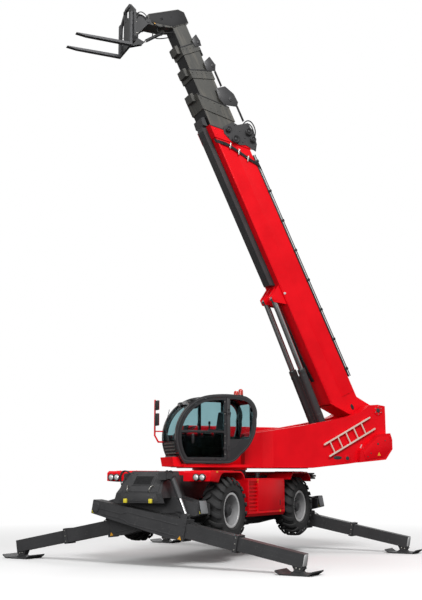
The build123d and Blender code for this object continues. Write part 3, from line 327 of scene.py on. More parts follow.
def surface(name, color, shade, roughness, metallic=0.0, coat=0.0, grain=60.0, bump=0.1, gloss=0.35,
            scuff=None, streak=None, dust=None):
    # paint or metal with a faint cloudy tone, small scuffs, rubbed streaks and dust on what faces up
    material, nodes, links, shader = nodeTree(name)
    coordinates = nodes.new("ShaderNodeTexCoord").outputs["Object"]
    cloud = noiseNode(nodes, links, coordinates, 1.7, 4)
    tone = ramp(nodes, links, cloud, 0.35, 0.65, shade, color)
    if scuff:
        speck = noiseNode(nodes, links, coordinates, 23, 6)
        mask = ramp(nodes, links, speck, 0.60, 0.74, (0, 0, 0), (0.6, 0.6, 0.6))
        tone = blended(nodes, links, tone, mask, scuff)
    if streak:
        # long faint streaks along the boom
        along = nodes.new("ShaderNodeMapping")
        along.inputs["Rotation"].default_value = boomFrame.inverted().to_euler()
        stretch = nodes.new("ShaderNodeMapping")
        stretch.inputs["Scale"].default_value = (9, 0.9, 9)
        links.new(coordinates, along.inputs["Vector"])
        links.new(along.outputs["Vector"], stretch.inputs["Vector"])
        lines = noiseNode(nodes, links, stretch.outputs["Vector"], 1.6, 5)
        mask = ramp(nodes, links, lines, 0.52, 0.72, (0, 0, 0), (0.5, 0.5, 0.5))
        tone = blended(nodes, links, tone, mask, streak)
    if dust:
        geometry = nodes.new("ShaderNodeNewGeometry")
        split = nodes.new("ShaderNodeSeparateXYZ")
        links.new(geometry.outputs["Normal"], split.inputs["Vector"])
        facing = ramp(nodes, links, split.outputs["Z"], 0.5, 1.0, (0, 0, 0), (0.45, 0.45, 0.45))
        speck = ramp(nodes, links, noiseNode(nodes, links, coordinates, 5, 7), 0.4, 0.7, (0, 0, 0), (1, 1, 1))
        both = mathNode(nodes, links, "ShaderNodeMath", "MULTIPLY", facing, speck)
        tone = blended(nodes, links, tone, both, dust)
    links.new(tone, shader.inputs["Base Color"])
    shader.inputs["Metallic"].default_value = metallic
    shader.inputs["Specular IOR Level"].default_value = gloss
    shader.inputs["Coat Weight"].default_value = coat
    shader.inputs["Coat Roughness"].default_value = 0.12
    fine = noiseNode(nodes, links, coordinates, grain, 2)
    spread = nodes.new("ShaderNodeMapRange")
    spread.inputs["To Min"].default_value = roughness - 0.06
    spread.inputs["To Max"].default_value = roughness + 0.08
    links.new(cloud, spread.inputs["Value"])
    links.new(spread.outputs["Result"], shader.inputs["Roughness"])
    bumpFrom(nodes, links, fine, bump, 0.002, shader)
    return material


def glassSheet(name, tint, roughness=0.03):
    material, nodes, links, shader = nodeTree(name)
    coordinates = nodes.new("ShaderNodeTexCoord").outputs["Object"]
    film = ramp(
        nodes, links, noiseNode(nodes, links, coordinates, 2.2, 5), 0.3, 0.7,
        tint, tuple(min(1, channel * 1.12) for channel in tint),
    )
    links.new(film, shader.inputs["Base Color"])
    shader.inputs["Roughness"].default_value = roughness
    shader.inputs["Transmission Weight"].default_value = 1.0
    shader.inputs["IOR"].default_value = 1.06
    shader.inputs["Specular IOR Level"].default_value = 0.9
    return material


finishes = {
    # name: colour, shade, roughness, metallic, coat, grain, bump, gloss
    "red": surface("signalRedPaint", (0.82, 0.003, 0.010), (0.72, 0.002, 0.008),
                   0.40, 0.0, 0.05, 40, 0.03, 0.12),
    "dark": surface("anthracitePaint", (0.046, 0.046, 0.048), (0.036, 0.036, 0.038),
                    0.45, 0.0, 0.05, 55, 0.10,
                    scuff=(0.085, 0.083, 0.080), dust=(0.075, 0.073, 0.070)),
    "boomGrey": surface("sectionPaint", (0.078, 0.077, 0.070), (0.063, 0.063, 0.058),
                        0.46, 0.0, 0.05, 45, 0.08, streak=(0.16, 0.145, 0.12)),
    "neck": surface("neckPaint", (0.030, 0.030, 0.031), (0.023, 0.023, 0.024),
                  0.55, 0.0, 0.0, 45, 0.06, 0.2),
    "cabBlack": surface("cabLacquer", (0.026, 0.026, 0.028), (0.019, 0.019, 0.021),
                      0.26, 0.0, 0.4, 50, 0.03),
    "cabTube": surface("cabTubePaint", (0.052, 0.052, 0.054), (0.040, 0.040, 0.042),
                     0.36, 0.0, 0.2, 50, 0.05),
    "rim": surface("rimPaint", (0.47, 0.47, 0.475), (0.38, 0.38, 0.385), 0.38, 0.15, 0.2, 60, 0.08,
                   scuff=(0.30, 0.29, 0.28)),
    "hub": surface("hubPaint", (0.045, 0.045, 0.047), (0.03, 0.03, 0.032), 0.45, 0.0, 0.1, 60, 0.10),
    "rubber": surface("tyreRubber", (0.038, 0.038, 0.038), (0.026, 0.026, 0.027),
                    0.75, 0.0, 0.0, 90, 0.25,
                      dust=(0.07, 0.066, 0.06)),
    "plastic": surface("blackPlastic", (0.022, 0.022, 0.023), (0.016, 0.016, 0.017),
                     0.50, 0.0, 0.0, 120, 0.18),
    "chrome": surface("rodChrome", (0.56, 0.56, 0.56), (0.47, 0.47, 0.47), 0.22, 1.0, 0.0, 200, 0.02),
    "barrel": surface("barrelPaint", (0.064, 0.068, 0.068), (0.050, 0.053, 0.053),
                    0.34, 0.2, 0.2, 60, 0.05),
    "steel": surface("zincSteel", (0.55, 0.54, 0.50), (0.42, 0.41, 0.37), 0.34, 0.9, 0.0, 70, 0.08),
    "ladder": surface("ladderPaint", (0.82, 0.66, 0.57), (0.72, 0.56, 0.47), 0.42, 0.1, 0.1, 60, 0.06),
    "fork": surface("forkSteel", (0.060, 0.060, 0.063), (0.046, 0.046, 0.049), 0.40, 0.2, 0.1, 50, 0.12,
                    scuff=(0.11, 0.11, 0.11)),
    "iron": surface("castIron", (0.10, 0.10, 0.10), (0.07, 0.07, 0.07), 0.6, 0.4, 0.0, 70, 0.3),
    "seat": surface("seatCloth", (0.030, 0.030, 0.033), (0.018, 0.018, 0.020), 0.85, 0.0, 0.0, 300, 0.4),
    "yellow": surface("signalYellow", (0.80, 0.70, 0.05), (0.70, 0.58, 0.04), 0.4, 0.0, 0.2, 60, 0.05),
    "orange": surface("signalOrange", (0.86, 0.42, 0.03), (0.78, 0.34, 0.02), 0.4, 0.0, 0.3, 60, 0.05),
    "beacon": surface("beaconLens", (0.55, 0.04, 0.02), (0.42, 0.02, 0.01), 0.14, 0.0, 0.8, 30, 0.02),
    "pale": surface("palePaint", (0.58, 0.58, 0.58), (0.50, 0.50, 0.50), 0.4, 0.0, 0.2, 60, 0.05),
    "tail": surface("tailPlatePaint", (0.30, 0.31, 0.32), (0.24, 0.25, 0.26), 0.42, 0.3, 0.1, 60, 0.06),
    "lens": surface("lampLens", (0.80, 0.80, 0.79), (0.66, 0.66, 0.66), 0.12, 0.35, 0.8, 160, 0.25),
    "glass": glassSheet("cabGlazing", (0.60, 0.80, 0.83)),
    "smoke": glassSheet("doorFilm", (0.22, 0.23, 0.24), 0.12),
}
slotFinish = {
    "red_paint": "red", "dark_paint": "dark", "boom_paint": "boomGrey", "cab_paint": "cabBlack",
    "rim_paint": "rim", "ladder_metal": "ladder", "fork_steel": "fork", "polished_rod": "chrome",
    "engine_iron": "iron", "tyre_rubber": "rubber", "clear_plastic": "lens",
    "seat_cloth": "seat", "cab_glass": "glass",
}
finishOf = {part["node"]: slotFinish[part["material_slot"]] for part in frame["record"]["subparts"]}
for name, node in frame["nodes"].items():
    node.data.materials.clear()
    node.data.materials.append(finishes[finishOf[name]])
print("finishes on", len(finishOf), "nodes")

# camera, floor and light

camera = {"place": (10.867, -19.784, 1.739), "tilt": 100.49, "turn": 29.59, "lens": 57.41}
deselectAll()
bpy.ops.object.camera_add(
    location=camera["place"], rotation=(math.radians(camera["tilt"]), 0, math.radians(camera["turn"]))
)
viewer = bpy.context.object
viewer.name = "studioCamera"
viewer.data.lens = camera["lens"]
viewer.data.clip_end = 300
bpy.context.scene.camera = viewer

bpy.ops.mesh.primitive_plane_add(size=400, location=(0, 0, -0.002))
floor = bpy.context.object
floor.name = "studioFloor"
floorMaterial, floorNodes, floorLinks, floorShader = nodeTree("studioFloorPaint")
studio = {"floorTone": 0.92, "floorBounce": 0.10, "skyLight": 0.50}
floorShader.inputs["Base Color"].default_value = (studio["floorTone"],) * 3 + (1,)
floorShader.inputs["Roughness"].default_value = 0.9
floorShader.inputs["Specular IOR Level"].default_value = 0.0
bounce = floorNodes.new("ShaderNodeBsdfDiffuse")
bounce.inputs["Color"].default_value = (studio["floorBounce"],) * 3 + (1,)
cameraRay = floorNodes.new("ShaderNodeLightPath").outputs["Is Camera Ray"]
near = shaderMix(floorNodes, floorLinks, cameraRay, bounce.outputs["BSDF"], floorShader.outputs["BSDF"])
# far away the floor fades into the backdrop
floorPlace = floorNodes.new("ShaderNodeTexCoord").outputs["Object"]
reach = mathNode(floorNodes, floorLinks, "ShaderNodeVectorMath", "LENGTH", floorPlace)
fade = floorNodes.new("ShaderNodeMapRange")
for socket, value in (("From Min", 6.0), ("From Max", 16.0), ("To Min", 0.0), ("To Max", 1.0)):
    fade.inputs[socket].default_value = value
floorLinks.new(reach, fade.inputs["Value"])
share = mathNode(floorNodes, floorLinks, "ShaderNodeMath", "MULTIPLY", fade.outputs["Result"], cameraRay)
glow = floorNodes.new("ShaderNodeEmission")
glow.inputs["Strength"].default_value = 1.0
whole = shaderMix(floorNodes, floorLinks, share, near, glow.outputs["Emission"])
floorLinks.new(whole, floorNodes["Material Output"].inputs["Surface"])
floor.data.materials.append(floorMaterial)

world = bpy.data.worlds.new("studioSky")
bpy.context.scene.world = world
world.use_nodes = True
skyNodes, skyLinks = world.node_tree.nodes, world.node_tree.links
sky, backdrop = skyNodes["Background"], skyNodes.new("ShaderNodeBackground")
for node, strength in ((sky, studio["skyLight"]), (backdrop, 1.0)):
    node.inputs["Color"].default_value = (1, 1, 1, 1)
    node.inputs["Strength"].default_value = strength
skyRay = skyNodes.new("ShaderNodeLightPath").outputs["Is Camera Ray"]
seen = shaderMix(skyNodes, skyLinks, skyRay, sky.outputs["Background"], backdrop.outputs["Background"])
skyLinks.new(seen, skyNodes["World Output"].inputs["Surface"])
bpy.context.scene.view_settings.view_transform = "Standard"

lights = {
    # name: (place, target, size, power)
    "keyLight": ((17, -15, 22), (0, 0, 4), 8, 4800),
    "fillLight": ((5, -26, 9), (0, 0, 4), 10, 2600),
    "backLight": ((-6, 22, 18), (0, 0, 5), 10, 1300),
}
for name, (place, target, size, power) in lights.items():
    bpy.ops.object.light_add(type="AREA", location=place)
    light = bpy.context.object
    light.name = name
    light.rotation_euler = (Vector(target) - Vector(place)).to_track_quat("-Z", "Y").to_euler()
    light.data.size = size
    light.data.energy = power
print("camera and light set")

# tyres with their tread, rims' nuts and the planetary hubs

tyre = {
    "carcass": [
        (0.149, 0.331), (0.149, 0.365), (0.178, 0.368), (0.196, 0.385), (0.201, 0.398), (0.2085, 0.402),
        (0.2085, 0.410), (0.205, 0.416), (0.2085, 0.45), (0.208, 0.50), (0.200, 0.545), (0.204, 0.549),
        (0.203, 0.553), (0.190, 0.566), (0.160, 0.590), (0.125, 0.612), (0.0, 0.616),
    ],
    "lugs": 20,
    "stations": [
        # across, top radius, round the tyre, width
        (-0.012, 0.651, 0.000, 0.060), (0.055, 0.651, 0.030, 0.078), (0.120, 0.647, 0.072, 0.090),
        (0.162, 0.618, 0.104, 0.098), (0.194, 0.587, 0.118, 0.098), (0.2093, 0.562, 0.124, 0.084),
        (0.2093, 0.535, 0.126, 0.060),
    ],
    "lugDepth": 0.034,
    "turnRadius": 0.65,     # where the stations' way round the tyre is measured
    "steps": 88,
}


def makeTyre():
    half = tyre["carcass"]
    outline = half + [(-x, r) for x, r in reversed(half[:-1])]
    carcass = spun(outline, tyre["steps"])
    stations = tyre["stations"]
    deselectAll()
    bpy.ops.mesh.primitive_grid_add(x_subdivisions=len(stations) - 1, y_subdivisions=1)
    lug = bpy.context.object
    for index, vertex in enumerate(lug.data.vertices):
        across, radius, shift, width = stations[index % len(stations)]
        turn = (shift + (width / 2 if index >= len(stations) else -width / 2)) / tyre["turnRadius"]
        vertex.co = (across, -radius * math.sin(turn), radius * math.cos(turn))
    thick = lug.modifiers.new("depth", "SOLIDIFY")
    thick.thickness = tyre["lugDepth"]
    thick.offset = -1
    bpy.ops.object.modifier_apply(modifier="depth")
    roundEdges(facesOut(lug), 0.006, 2, 30)
    pitch = 2 * math.pi / tyre["lugs"]
    right = [copied(lug, Matrix.Rotation(index * pitch, 4, "X")) for index in range(tyre["lugs"])]
    facesOut(moved(lug, acrossX))
    left = [copied(lug, Matrix.Rotation((index + 0.5) * pitch, 4, "X")) for index in range(tyre["lugs"])]
    return joined(carcass, lug, *right, *left)


nuts = {"bolts": 10, "circle": 0.225, "across": 0.017, "height": 0.026}
hub = {
    "profile": [(0.0, 0.12), (0.0, 0.172), (0.05, 0.172), (0.062, 0.160), (0.150, 0.158), (0.162, 0.150),
                (0.166, 0.124), (0.190, 0.120), (0.214, 0.116), (0.222, 0.10), (0.222, 0.01), (0.19, 0.01)],
    "bolts": 12, "circle": 0.138,
}
# raised outer ring of the rim, and the rim's disc: its middle and thickness
rimRing = [(0.1655, 0.312), (0.1655, 0.362), (0.172, 0.359), (0.176, 0.340), (0.172, 0.316)]
rimDisc = {"middle": 0.9303, "thickness": 0.025}


def circleOf(dial):
    # places of the bolts on a circle, across and up
    for index in range(dial["bolts"]):
        angle = 2 * math.pi * index / dial["bolts"]
        yield dial["circle"] * math.sin(angle), dial["circle"] * math.cos(angle)


def makeNuts():
    parts = []
    for y, z in circleOf(nuts):
        parts.append(rod(nuts["across"], nuts["height"], (nuts["height"] / 2, y, z), "x", 6, 0.002))
        parts.append(rod(0.010, 0.040, (0.020, y, z), "x", 10, 0.002))
    valve = rod(0.006, 0.05, (0.02, 0.235, 0.14), "x", 8, 0.002)
    parts.append(valve)
    return joined(*parts)


def makeHub():
    parts = [spun(hub["profile"], 48)]
    for y, z in circleOf(hub):
        parts.append(rod(0.0075, 0.012, (0.166, y, z), "x", 6, 0.001))
    parts.append(rod(0.022, 0.012, (0.224, 0, 0.05), "x", 6, 0.002))
    return joined(*parts)


tyreModel, nutModel, hubModel = makeTyre(), makeNuts(), makeHub()
print("tyre has", len(tyreModel.data.polygons), "faces")
for name in cornerNames:
    spin = jointOf["spin_" + name]
    side = 1 if spin["pos_m"][0] > 0 else -1
    centre = Matrix.Translation(spin["pos_m"])
    outward = centre @ Matrix.Rotation(0 if side > 0 else math.pi, 4, "Z")
    body = "wheel_" + name
    piece = copied(tyreModel, Matrix.Identity(4))
    settle(piece, "tyre_tread_" + name, body, "rubber", outward, 32)
    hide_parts("tyre_" + name)
    faceX = rimDisc["middle"] + rimDisc["thickness"] - abs(spin["pos_m"][0])
    ringOfNuts = copied(nutModel, Matrix.Translation((faceX, 0, 0)))
    settle(ringOfNuts, "wheel_nuts_" + name, body, "steel", outward)
    settle(spun(rimRing, 64), "rim_ring_" + name, body, "pale", outward)
    wheelHub = copied(hubModel, Matrix.Translation((faceX + 0.002, 0, 0)))
    settle(wheelHub, "planetary_hub_" + name, body, "hub", outward)
for model in (tyreModel, nutModel, hubModel):
    bpy.data.objects.remove(model)
print("wheels done")

# stabilisers: ribs and painted crease highlights on the boxes, bolts, tail plates, end caps, blank signs and hoses

boxRibs = {
    # along the arm and up, on the outer box's sides
    "long": [(0.10, 0.02), (0.62, 0.02), (0.76, 0.085), (1.98, 0.085), (1.98, 0.065), (0.77, 0.065),
             (0.63, 0.0), (0.10, 0.0)],
    "low": [(0.16, -0.075), (0.70, -0.075), (0.84, -0.125), (1.96, -0.125), (1.96, -0.145), (0.83, -0.145),
            (0.69, -0.095), (0.16, -0.095)],
    "depth": 0.007,
}
boxHalf = 0.150
crease_highlights = {
    # box: its face, then from, to and height of the painted crease highlight
    "middle": (0.12505, 2.36, 3.14, 0.052),
    "tip": (0.10005, 3.42, 4.44, 0.045),
}
creaseHighlightDepth = 0.0002


def boltRow(places, axis, radius=0.014, height=0.012):
    return [rod(radius, height, place, axis, 6, 0.0015) for place in places]


def paintedCreaseHighlight(first, last, height, x, depth):
    # a paler strip with slanted ends along a box's side: a painted highlight where a fold of the box catches
    # light, flush enough to slide into the next box
    outline = [(first, height - 0.007), (first + 0.02, height + 0.007), (last - 0.02, height + 0.007),
               (last, height - 0.007)]
    return pressed(outline, "x", x, depth, 0)


for name in cornerNames:
    parts = [pressed(boxRibs[rib], "x", boxHalf, boxRibs["depth"], 0.0025) for rib in ("long", "low")]
    parts.append(pressed(oblong(-0.085, 0.045, -0.10, 0.12), "x", boxHalf, boxRibs["depth"], 0.003))
    parts += boltRow([(0.158, 2.12, z) for z in (-0.16, -0.09, 0.09, 0.15)], "x")
    parts += boltRow([(0.13, 2.158, z) for z in (-0.15, 0.0, 0.15)], "y", 0.010, 0.012)
    settle(twinned(parts), "arm_box_ribs_" + name, "arm_" + name, "dark")

    # painted highlights: paler strips where the folds of the middle and tip boxes catch light
    for part, (face, first, last, height) in crease_highlights.items():
        lines = [paintedCreaseHighlight(first, last, up * height, face, creaseHighlightDepth) for up in (1, -1)]
        body = "arm_" + part + "_" + name
        settle(twinned(lines), "arm_" + part + "_creases_" + name, body, "fork")
    bolts = boltRow([(0.149, 3.26, z) for z in (-0.11, 0.0, 0.11)], "x", 0.012)
    settle(twinned(bolts), "arm_middle_bolts_" + name, "arm_middle_" + name, "steel")
    bolts = boltRow([(0.075, y, -0.155) for y in (4.53, 4.60)], "x", 0.016, 0.02)
    settle(twinned(bolts), "arm_foot_bolts_" + name, "arm_tip_" + name, "steel")
    back = pressed(oblong(-0.135, 0.135, -0.115, 0.135), "y", -0.118, -0.006, 0.003)
    settle(back, "arm_tail_plate_" + name, "arm_" + name, "tail")
    cap = pressed([(-0.085, -0.095), (-0.085, 0.085), (-0.055, 0.118), (0.055, 0.118), (0.085, 0.085),
                   (0.085, -0.095)], "y", 4.650, 0.016, 0.004)
    settle(cap, "arm_end_cap_" + name, "arm_tip_" + name, "pale")

    warning = [(2.02, -0.185), (2.10, -0.185), (2.06, -0.115)]
    sign = pressed(warning, "x", 0.1545, 0.002, 0)
    settle(twinned([sign]), "blank_warning_plates_" + name, "arm_" + name, "orange")
    spot = block((0.004, 0.05, 0.05), (0.152, -0.075, -0.085), 0.001)
    settle(twinned([spot]), "arm_reflectors_" + name, "arm_" + name, "yellow")

    pipes = [
        hose([(-0.09, 1.93, 0.205), (-0.10, 1.93, 0.27), (-0.10, 1.80, 0.30), (-0.08, 1.62, 0.23),
              (-0.05, 1.45, 0.205)], 0.012),
        hose([(0.09, 1.95, 0.205), (0.11, 1.95, 0.26), (0.12, 1.86, 0.30), (0.09, 1.70, 0.24),
              (0.06, 1.50, 0.205)], 0.010),
        hose([(0.06, 2.16, 0.150), (0.06, 2.24, 0.19), (0.05, 2.33, 0.17), (0.05, 2.37, 0.135)], 0.010),
    ]
    settle(pipes, "arm_hoses_" + name, "arm_" + name, "plastic")
print("stabilisers done")

# chassis: end covers with their grille, handles and blocks; lamps; guards; side boxes

cover = {
    "front": 3.330,     # face of the end cover ahead of the middle
    "panel": [(-0.47, 1.262), (0.47, 1.262), (0.405, 1.415), (-0.405, 1.415)],
    "grille": (0.44, 0.235),            # width, height
    "grilleAt": 0.53,                   # its middle, as a share of the slope
    "bars": (23, 13),                   # upright, level
    "slope": ((3.330, 1.425), (2.962, 1.860)),
}
(slopeY0, slopeZ0), (slopeY1, slopeZ1) = cover["slope"]
slopeLength = math.hypot(slopeY0 - slopeY1, slopeZ1 - slopeZ0)
middleUp = slopeLength * cover["grilleAt"]


def slopeFrame(base):
    # X across, Y up the slope, Z square to it, origin at the slope's foot
    climb = Vector((0, slopeY0 - slopeY1, slopeZ1 - slopeZ0)).normalized()
    local = frameAt((0, -slopeY0, slopeZ0), (1, 0, 0), climb)
    return base @ local


def coverParts():
    # drawn on the sloping face, Z outwards
    width, height = cover["grille"]
    parts = [
        pressed([(-0.455, 0.02), (0.455, 0.02), (0.385, slopeLength - 0.03), (-0.385, slopeLength - 0.03)],
                "z", 0.0, 0.008, 0.003),
        pressed(oblong(-0.27, 0.27, 0.03, slopeLength - 0.07), "z", 0.006, 0.010, 0.003),
    ]
    frameWidth = 0.022
    for x in (-width / 2, width / 2):
        parts.append(block((frameWidth, height + frameWidth, 0.014), (x, middleUp, 0.020), 0.003))
    for y in (middleUp - height / 2, middleUp + height / 2):
        parts.append(block((width, frameWidth, 0.014), (0, y, 0.020), 0.003))
    bolts = [(0.235, 0.06, 0.020), (0.235, slopeLength - 0.10, 0.020), (0.40, 0.05, 0.012),
             (0.35, slopeLength - 0.06, 0.012)]
    return parts + twinned(boltRow(bolts, "z", 0.012))


def meshParts():
    # the grille's bars, crossed in a close mesh
    width, height = cover["grille"]
    upright, level = cover["bars"]
    bars = []
    for index in range(upright):
        x = -width / 2 + 0.01 + index * (width - 0.02) / (upright - 1)
        bars.append(block((0.006, height, 0.005), (x, middleUp, 0.021), 0))
    for index in range(level):
        y = middleUp - height / 2 + 0.008 + index * (height - 0.016) / (level - 1)
        bars.append(block((width, 0.006, 0.005), (0, y, 0.023), 0))
    return bars


for endName, base in ends.items():
    slope = slopeFrame(base)
    settle(coverParts(), "end_cover_plate_" + endName, "chassis", "dark", slope)
    settle(meshParts(), "end_cover_mesh_" + endName, "chassis", "plastic", slope)
    lower = [pressed(cover["panel"], "y", -cover["front"], -0.010, 0.003)]
    for x in (-0.36, -0.12, 0.12, 0.36):
        lower += boltRow([(x, -cover["front"] - 0.014, 1.30)], "y", 0.010)
    settle(lower, "end_cover_lip_" + endName, "chassis", "dark", base)
    blocks = [block((0.075, 0.045, 0.085), (x, -cover["front"] - 0.024, 1.275), 0.008) for x in (-0.30, 0.30)]
    settle(blocks, "guide_blocks_" + endName, "chassis", "yellow", base)
    grip = hose([(0.26, 0.02, 0.005), (0.26, 0.02, 0.06), (0.275, 0.10, 0.075), (0.31, 0.16, 0.06),
                 (0.31, 0.16, 0.005)], 0.008)
    settle(twinned([grip]), "cover_grips_" + endName, "chassis", "steel", slope)
    # hoses between the covers and the ears
    tubes = [hose([(0.42, -3.02, 1.80), (0.47, -3.06, 1.87), (0.56, -3.10, 1.86), (0.60, -3.12, 1.78),
                   (0.60, -3.10, 1.66)], 0.013),
             hose([(0.44, -2.96, 1.80), (0.50, -2.98, 1.88), (0.62, -3.00, 1.84), (0.66, -3.02, 1.72),
                   (0.63, -3.02, 1.58)], 0.011)]
    settle(twinned(tubes), "end_hoses_" + endName, "chassis", "plastic", base)

lamp = {"xs": (0.970, 1.110), "z": 1.738, "face": 2.720}
rings, glasses = [], []
for x in lamp["xs"]:
    at = Matrix.Translation((x, -lamp["face"], lamp["z"])) @ Matrix.Rotation(-math.pi / 2, 4, "Z")
    ring = spun([(-0.055, 0.040), (-0.055, 0.062), (-0.01, 0.072), (0.012, 0.072), (0.016, 0.066),
                 (0.012, 0.060), (0.0, 0.058), (0.0, 0.040)], 40)
    rings.append(moved(ring, at))
    lens = spun([(0.002, 0.001), (0.002, 0.0585), (0.008, 0.052), (0.016, 0.030), (0.019, 0.001)], 40)
    glasses.append(moved(lens, at))
settle(twinned(rings), "headlamp_rings", "chassis", "plastic")
settle(twinned(glasses), "headlamp_lenses", "chassis", "lens")
tails = [block((width, 0.012, 0.040), (x, 2.662, 1.750), 0.006)
         for x, width in ((0.90, 0.10), (1.02, 0.10), (1.14, 0.09))]
settle(twinned(tails), "tail_lamp_lenses", "chassis", "beacon")

guard = {
    "outer": 1.250,
    "front": [(-2.285, 1.655), (-2.655, 1.665), (-2.655, 1.828), (-2.597, 1.864)],
    "rear": [(-2.285, 1.655), (-2.325, 1.650), (-2.268, 1.786), (-2.108, 1.864)],
    "arch": arcPoints((-1.400, 1.864), (-1.232, 1.818), (-1.134, 1.690), 8) + [(-1.134, 1.690)]
            + arcPoints((-1.168, 1.683), (-1.265, 1.795), (-1.400, 1.828), 8) + [(-1.400, 1.828)]
            + arcPoints((-2.060, 1.828), (-2.196, 1.775), (-2.280, 1.662), 6),
    "tops": {"front": (2.43, 1.50), "rear": (2.06, 1.50)},
}
for endName, base in ends.items():
    lip = guard[endName] + guard["arch"]
    topFront, topRear = guard["tops"][endName]
    bolts = [(x, y, 1.876) for x in (0.72, 1.14) for y in (0.09 - topFront, -topRear - 0.06)]
    parts = [
        pressed(lip, "x", guard["outer"] - 0.008, 0.016, 0.004),
        block((0.50, topFront - topRear, 0.010), (0.93, -(topFront + topRear) / 2, 1.870), 0.004),
        *boltRow(bolts, "z", 0.012, 0.008),
    ]
    settle(twinned(parts), "guard_lips_" + endName, "chassis", "red", base)
    mark = block((0.006, 0.075, 0.030), (1.256, 0.07 - topFront, 1.845), 0.003)
    settle(twinned([mark]), "guard_reflectors_" + endName, "chassis", "orange", base)

tank = {"outer": 1.205, "door": oblong(-0.43, 0.86, 1.02, 1.67)}
face = tank["outer"]
parts = [
    pressed(tank["door"], "x", face, 0.008, 0.004),
    block((0.012, 1.30, 0.030), (face, 0.215, 0.975), 0.004),
    block((0.014, 0.030, 0.66), (face, -0.885, 1.32), 0.004),
    *boltRow([(face + 0.010, y, z) for y in (-0.40, 0.83) for z in (1.05, 1.64)], "x", 0.010),
]
dark = [
    block((0.010, 0.030, 0.120), (face + 0.008, 0.66, 1.175), 0.004),
    rod(0.045, 0.09, (1.02, -0.10, 1.76), "z", 28, 0.006),
    rod(0.060, 0.035, (1.02, -0.10, 1.82), "z", 12, 0.006),
]
small = [block((0.004, 0.050, 0.012), (face + 0.004, -0.435, z), 0.001) for z in (1.63, 1.66, 1.69)]
small.append(block((0.006, 0.040, 0.05), (face + 0.010, 0.66, 0.990), 0.004))
settle(twinned(parts), "side_box_panels", "chassis", "red")
settle(twinned(dark), "side_box_latches_and_caps", "chassis", "plastic")
settle(twinned(small), "side_box_markers", "chassis", "orange")
print("chassis done")

# turret: seams, pin plates, blank signs, counterweight plates and the engine cover's louvres

beamFace = 0.720


def ovalOf(y, z, halfLength, halfHeight, count):
    angles = [2 * math.pi * index / count for index in range(count)]
    return [(y + halfLength * math.cos(angle), z + halfHeight * math.sin(angle)) for angle in angles]


strip = [(1.06, 1.953), (2.045, 1.953), (3.000, 2.050), (3.000, 2.074), (2.045, 1.977), (1.06, 1.977)]
pinY, pinZ = boomPin
reds = [
    pressed(strip, "x", beamFace, 0.006, 0.002),
    rod(0.125, 0.016, (beamFace + 0.004, *boomPin), "x", 40, 0.004),
    rod(0.090, 0.012, (beamFace, *liftPin), "x", 36, 0.003),
]
# dark pin ends, and a dark oval of painted shade standing for the inside of an opening in the beam
darks = [
    rod(0.056, 0.030, (beamFace + 0.002, *boomPin), "x", 32, 0.004),
    rod(0.046, 0.020, (beamFace, *liftPin), "x", 28, 0.003),
    pressed(ovalOf(2.730, 2.190, 0.115, 0.042, 24), "x", beamFace - 0.002, 0.008, 0.002),
]
zincs = boltRow([(beamFace + 0.018, pinY + 0.092 * math.sin(turn), pinZ + 0.092 * math.cos(turn))
                 for turn in (0.0, 1.05, 2.09, 3.14, 4.19, 5.24)], "x", 0.013, 0.012)
settle(twinned(reds), "beam_seams_and_pin_plates", "turret", "red")
settle(twinned(darks), "beam_pins_and_opening_shade", "turret", "dark")
settle(twinned(zincs), "pin_plate_bolts", "turret", "steel")

blankBar = pressed([(3.355, 2.425), (3.375, 2.415), (3.420, 2.500), (3.400, 2.510)], "x", beamFace, 0.003, 0)
settle(blankBar, "blank_bar_plate", "turret", "pale")

weightHalf = 0.850
facet = [(3.36, 2.330), (3.78, 2.672), (4.09, 2.700), (4.14, 2.610), (4.14, 2.420), (3.96, 2.215),
         (3.42, 2.140)]
reds = [pressed(facet, "x", weightHalf, 0.014, 0.006)]
darks = [rod(0.024, 0.016, (weightHalf + 0.012, 3.779, 2.522), "x", 24, 0.003)]
darks += boltRow([(weightHalf + 0.018, y, z) for y, z in ((3.569, 2.300), (3.48, 2.22), (3.98, 2.60))],
                 "x", 0.014)
signs = [pressed([(3.755, 2.245), (3.845, 2.245), (3.800, 2.325)], "x", weightHalf + 0.014, 0.002, 0)]
settle(twinned(reds), "counterweight_plates", "turret", "red")
settle(twinned(darks), "counterweight_bolts", "turret", "dark")
settle(twinned(signs), "counterweight_blank_signs", "turret", "orange")

hood = {"face": 1.245, "louvres": ((-0.30, 0.55), (1.55, 2.45)), "slats": 11}
slats, seams, handles = [], [], []
for first, last in hood["louvres"]:
    panel = oblong(first - 0.05, last + 0.05, 2.12, 2.62)
    seams.append(pressed(panel, "x", -hood["face"], -0.006, 0.003))
    for index in range(hood["slats"]):
        place = (-hood["face"] - 0.006, (first + last) / 2, 2.17 + index * 0.040)
        slats.append(block((0.020, last - first, 0.016), place, 0.003, (0, 0.5, 0)))
seams.append(pressed(oblong(0.68, 1.42, 2.06, 2.64), "x", -hood["face"], -0.006, 0.003))
for y in (0.78, 1.32):
    handles.append(block((0.020, 0.10, 0.035), (-hood["face"] - 0.012, y, 2.58), 0.006))
for y in (-0.42, 1.05, 2.62):
    handles.append(block((0.010, 0.05, 0.02), (-hood["face"] - 0.004, y, 2.05), 0.003))
settle(seams, "engine_cover_panels", "turret", "red")
settle(slats, "engine_cover_louvres", "turret", "plastic")
settle(handles, "engine_cover_latches", "turret", "plastic")
print("turret done")

# cab: rounded frame, pillars, slats, door gear, wiper, seat and controls

cabArcs = [
    ((-1.400, 2.030), (-1.600, 2.480), (-1.545, 2.920)),
    ((-1.545, 2.920), (-1.300, 3.270), (-0.860, 3.495)),
    ((-0.860, 3.495), (-0.450, 3.534), (0.060, 3.500)),
    ((0.060, 3.500), (0.245, 3.380), (0.325, 3.000)),
    ((0.325, 3.000), (0.230, 2.550), (-0.060, 2.230)),
    ((-0.060, 2.230), (-0.210, 2.090), (-0.390, 2.030)),
]
cab = {"inner": 0.440, "outer": 1.250, "tube": 0.033, "arcSteps": 7}


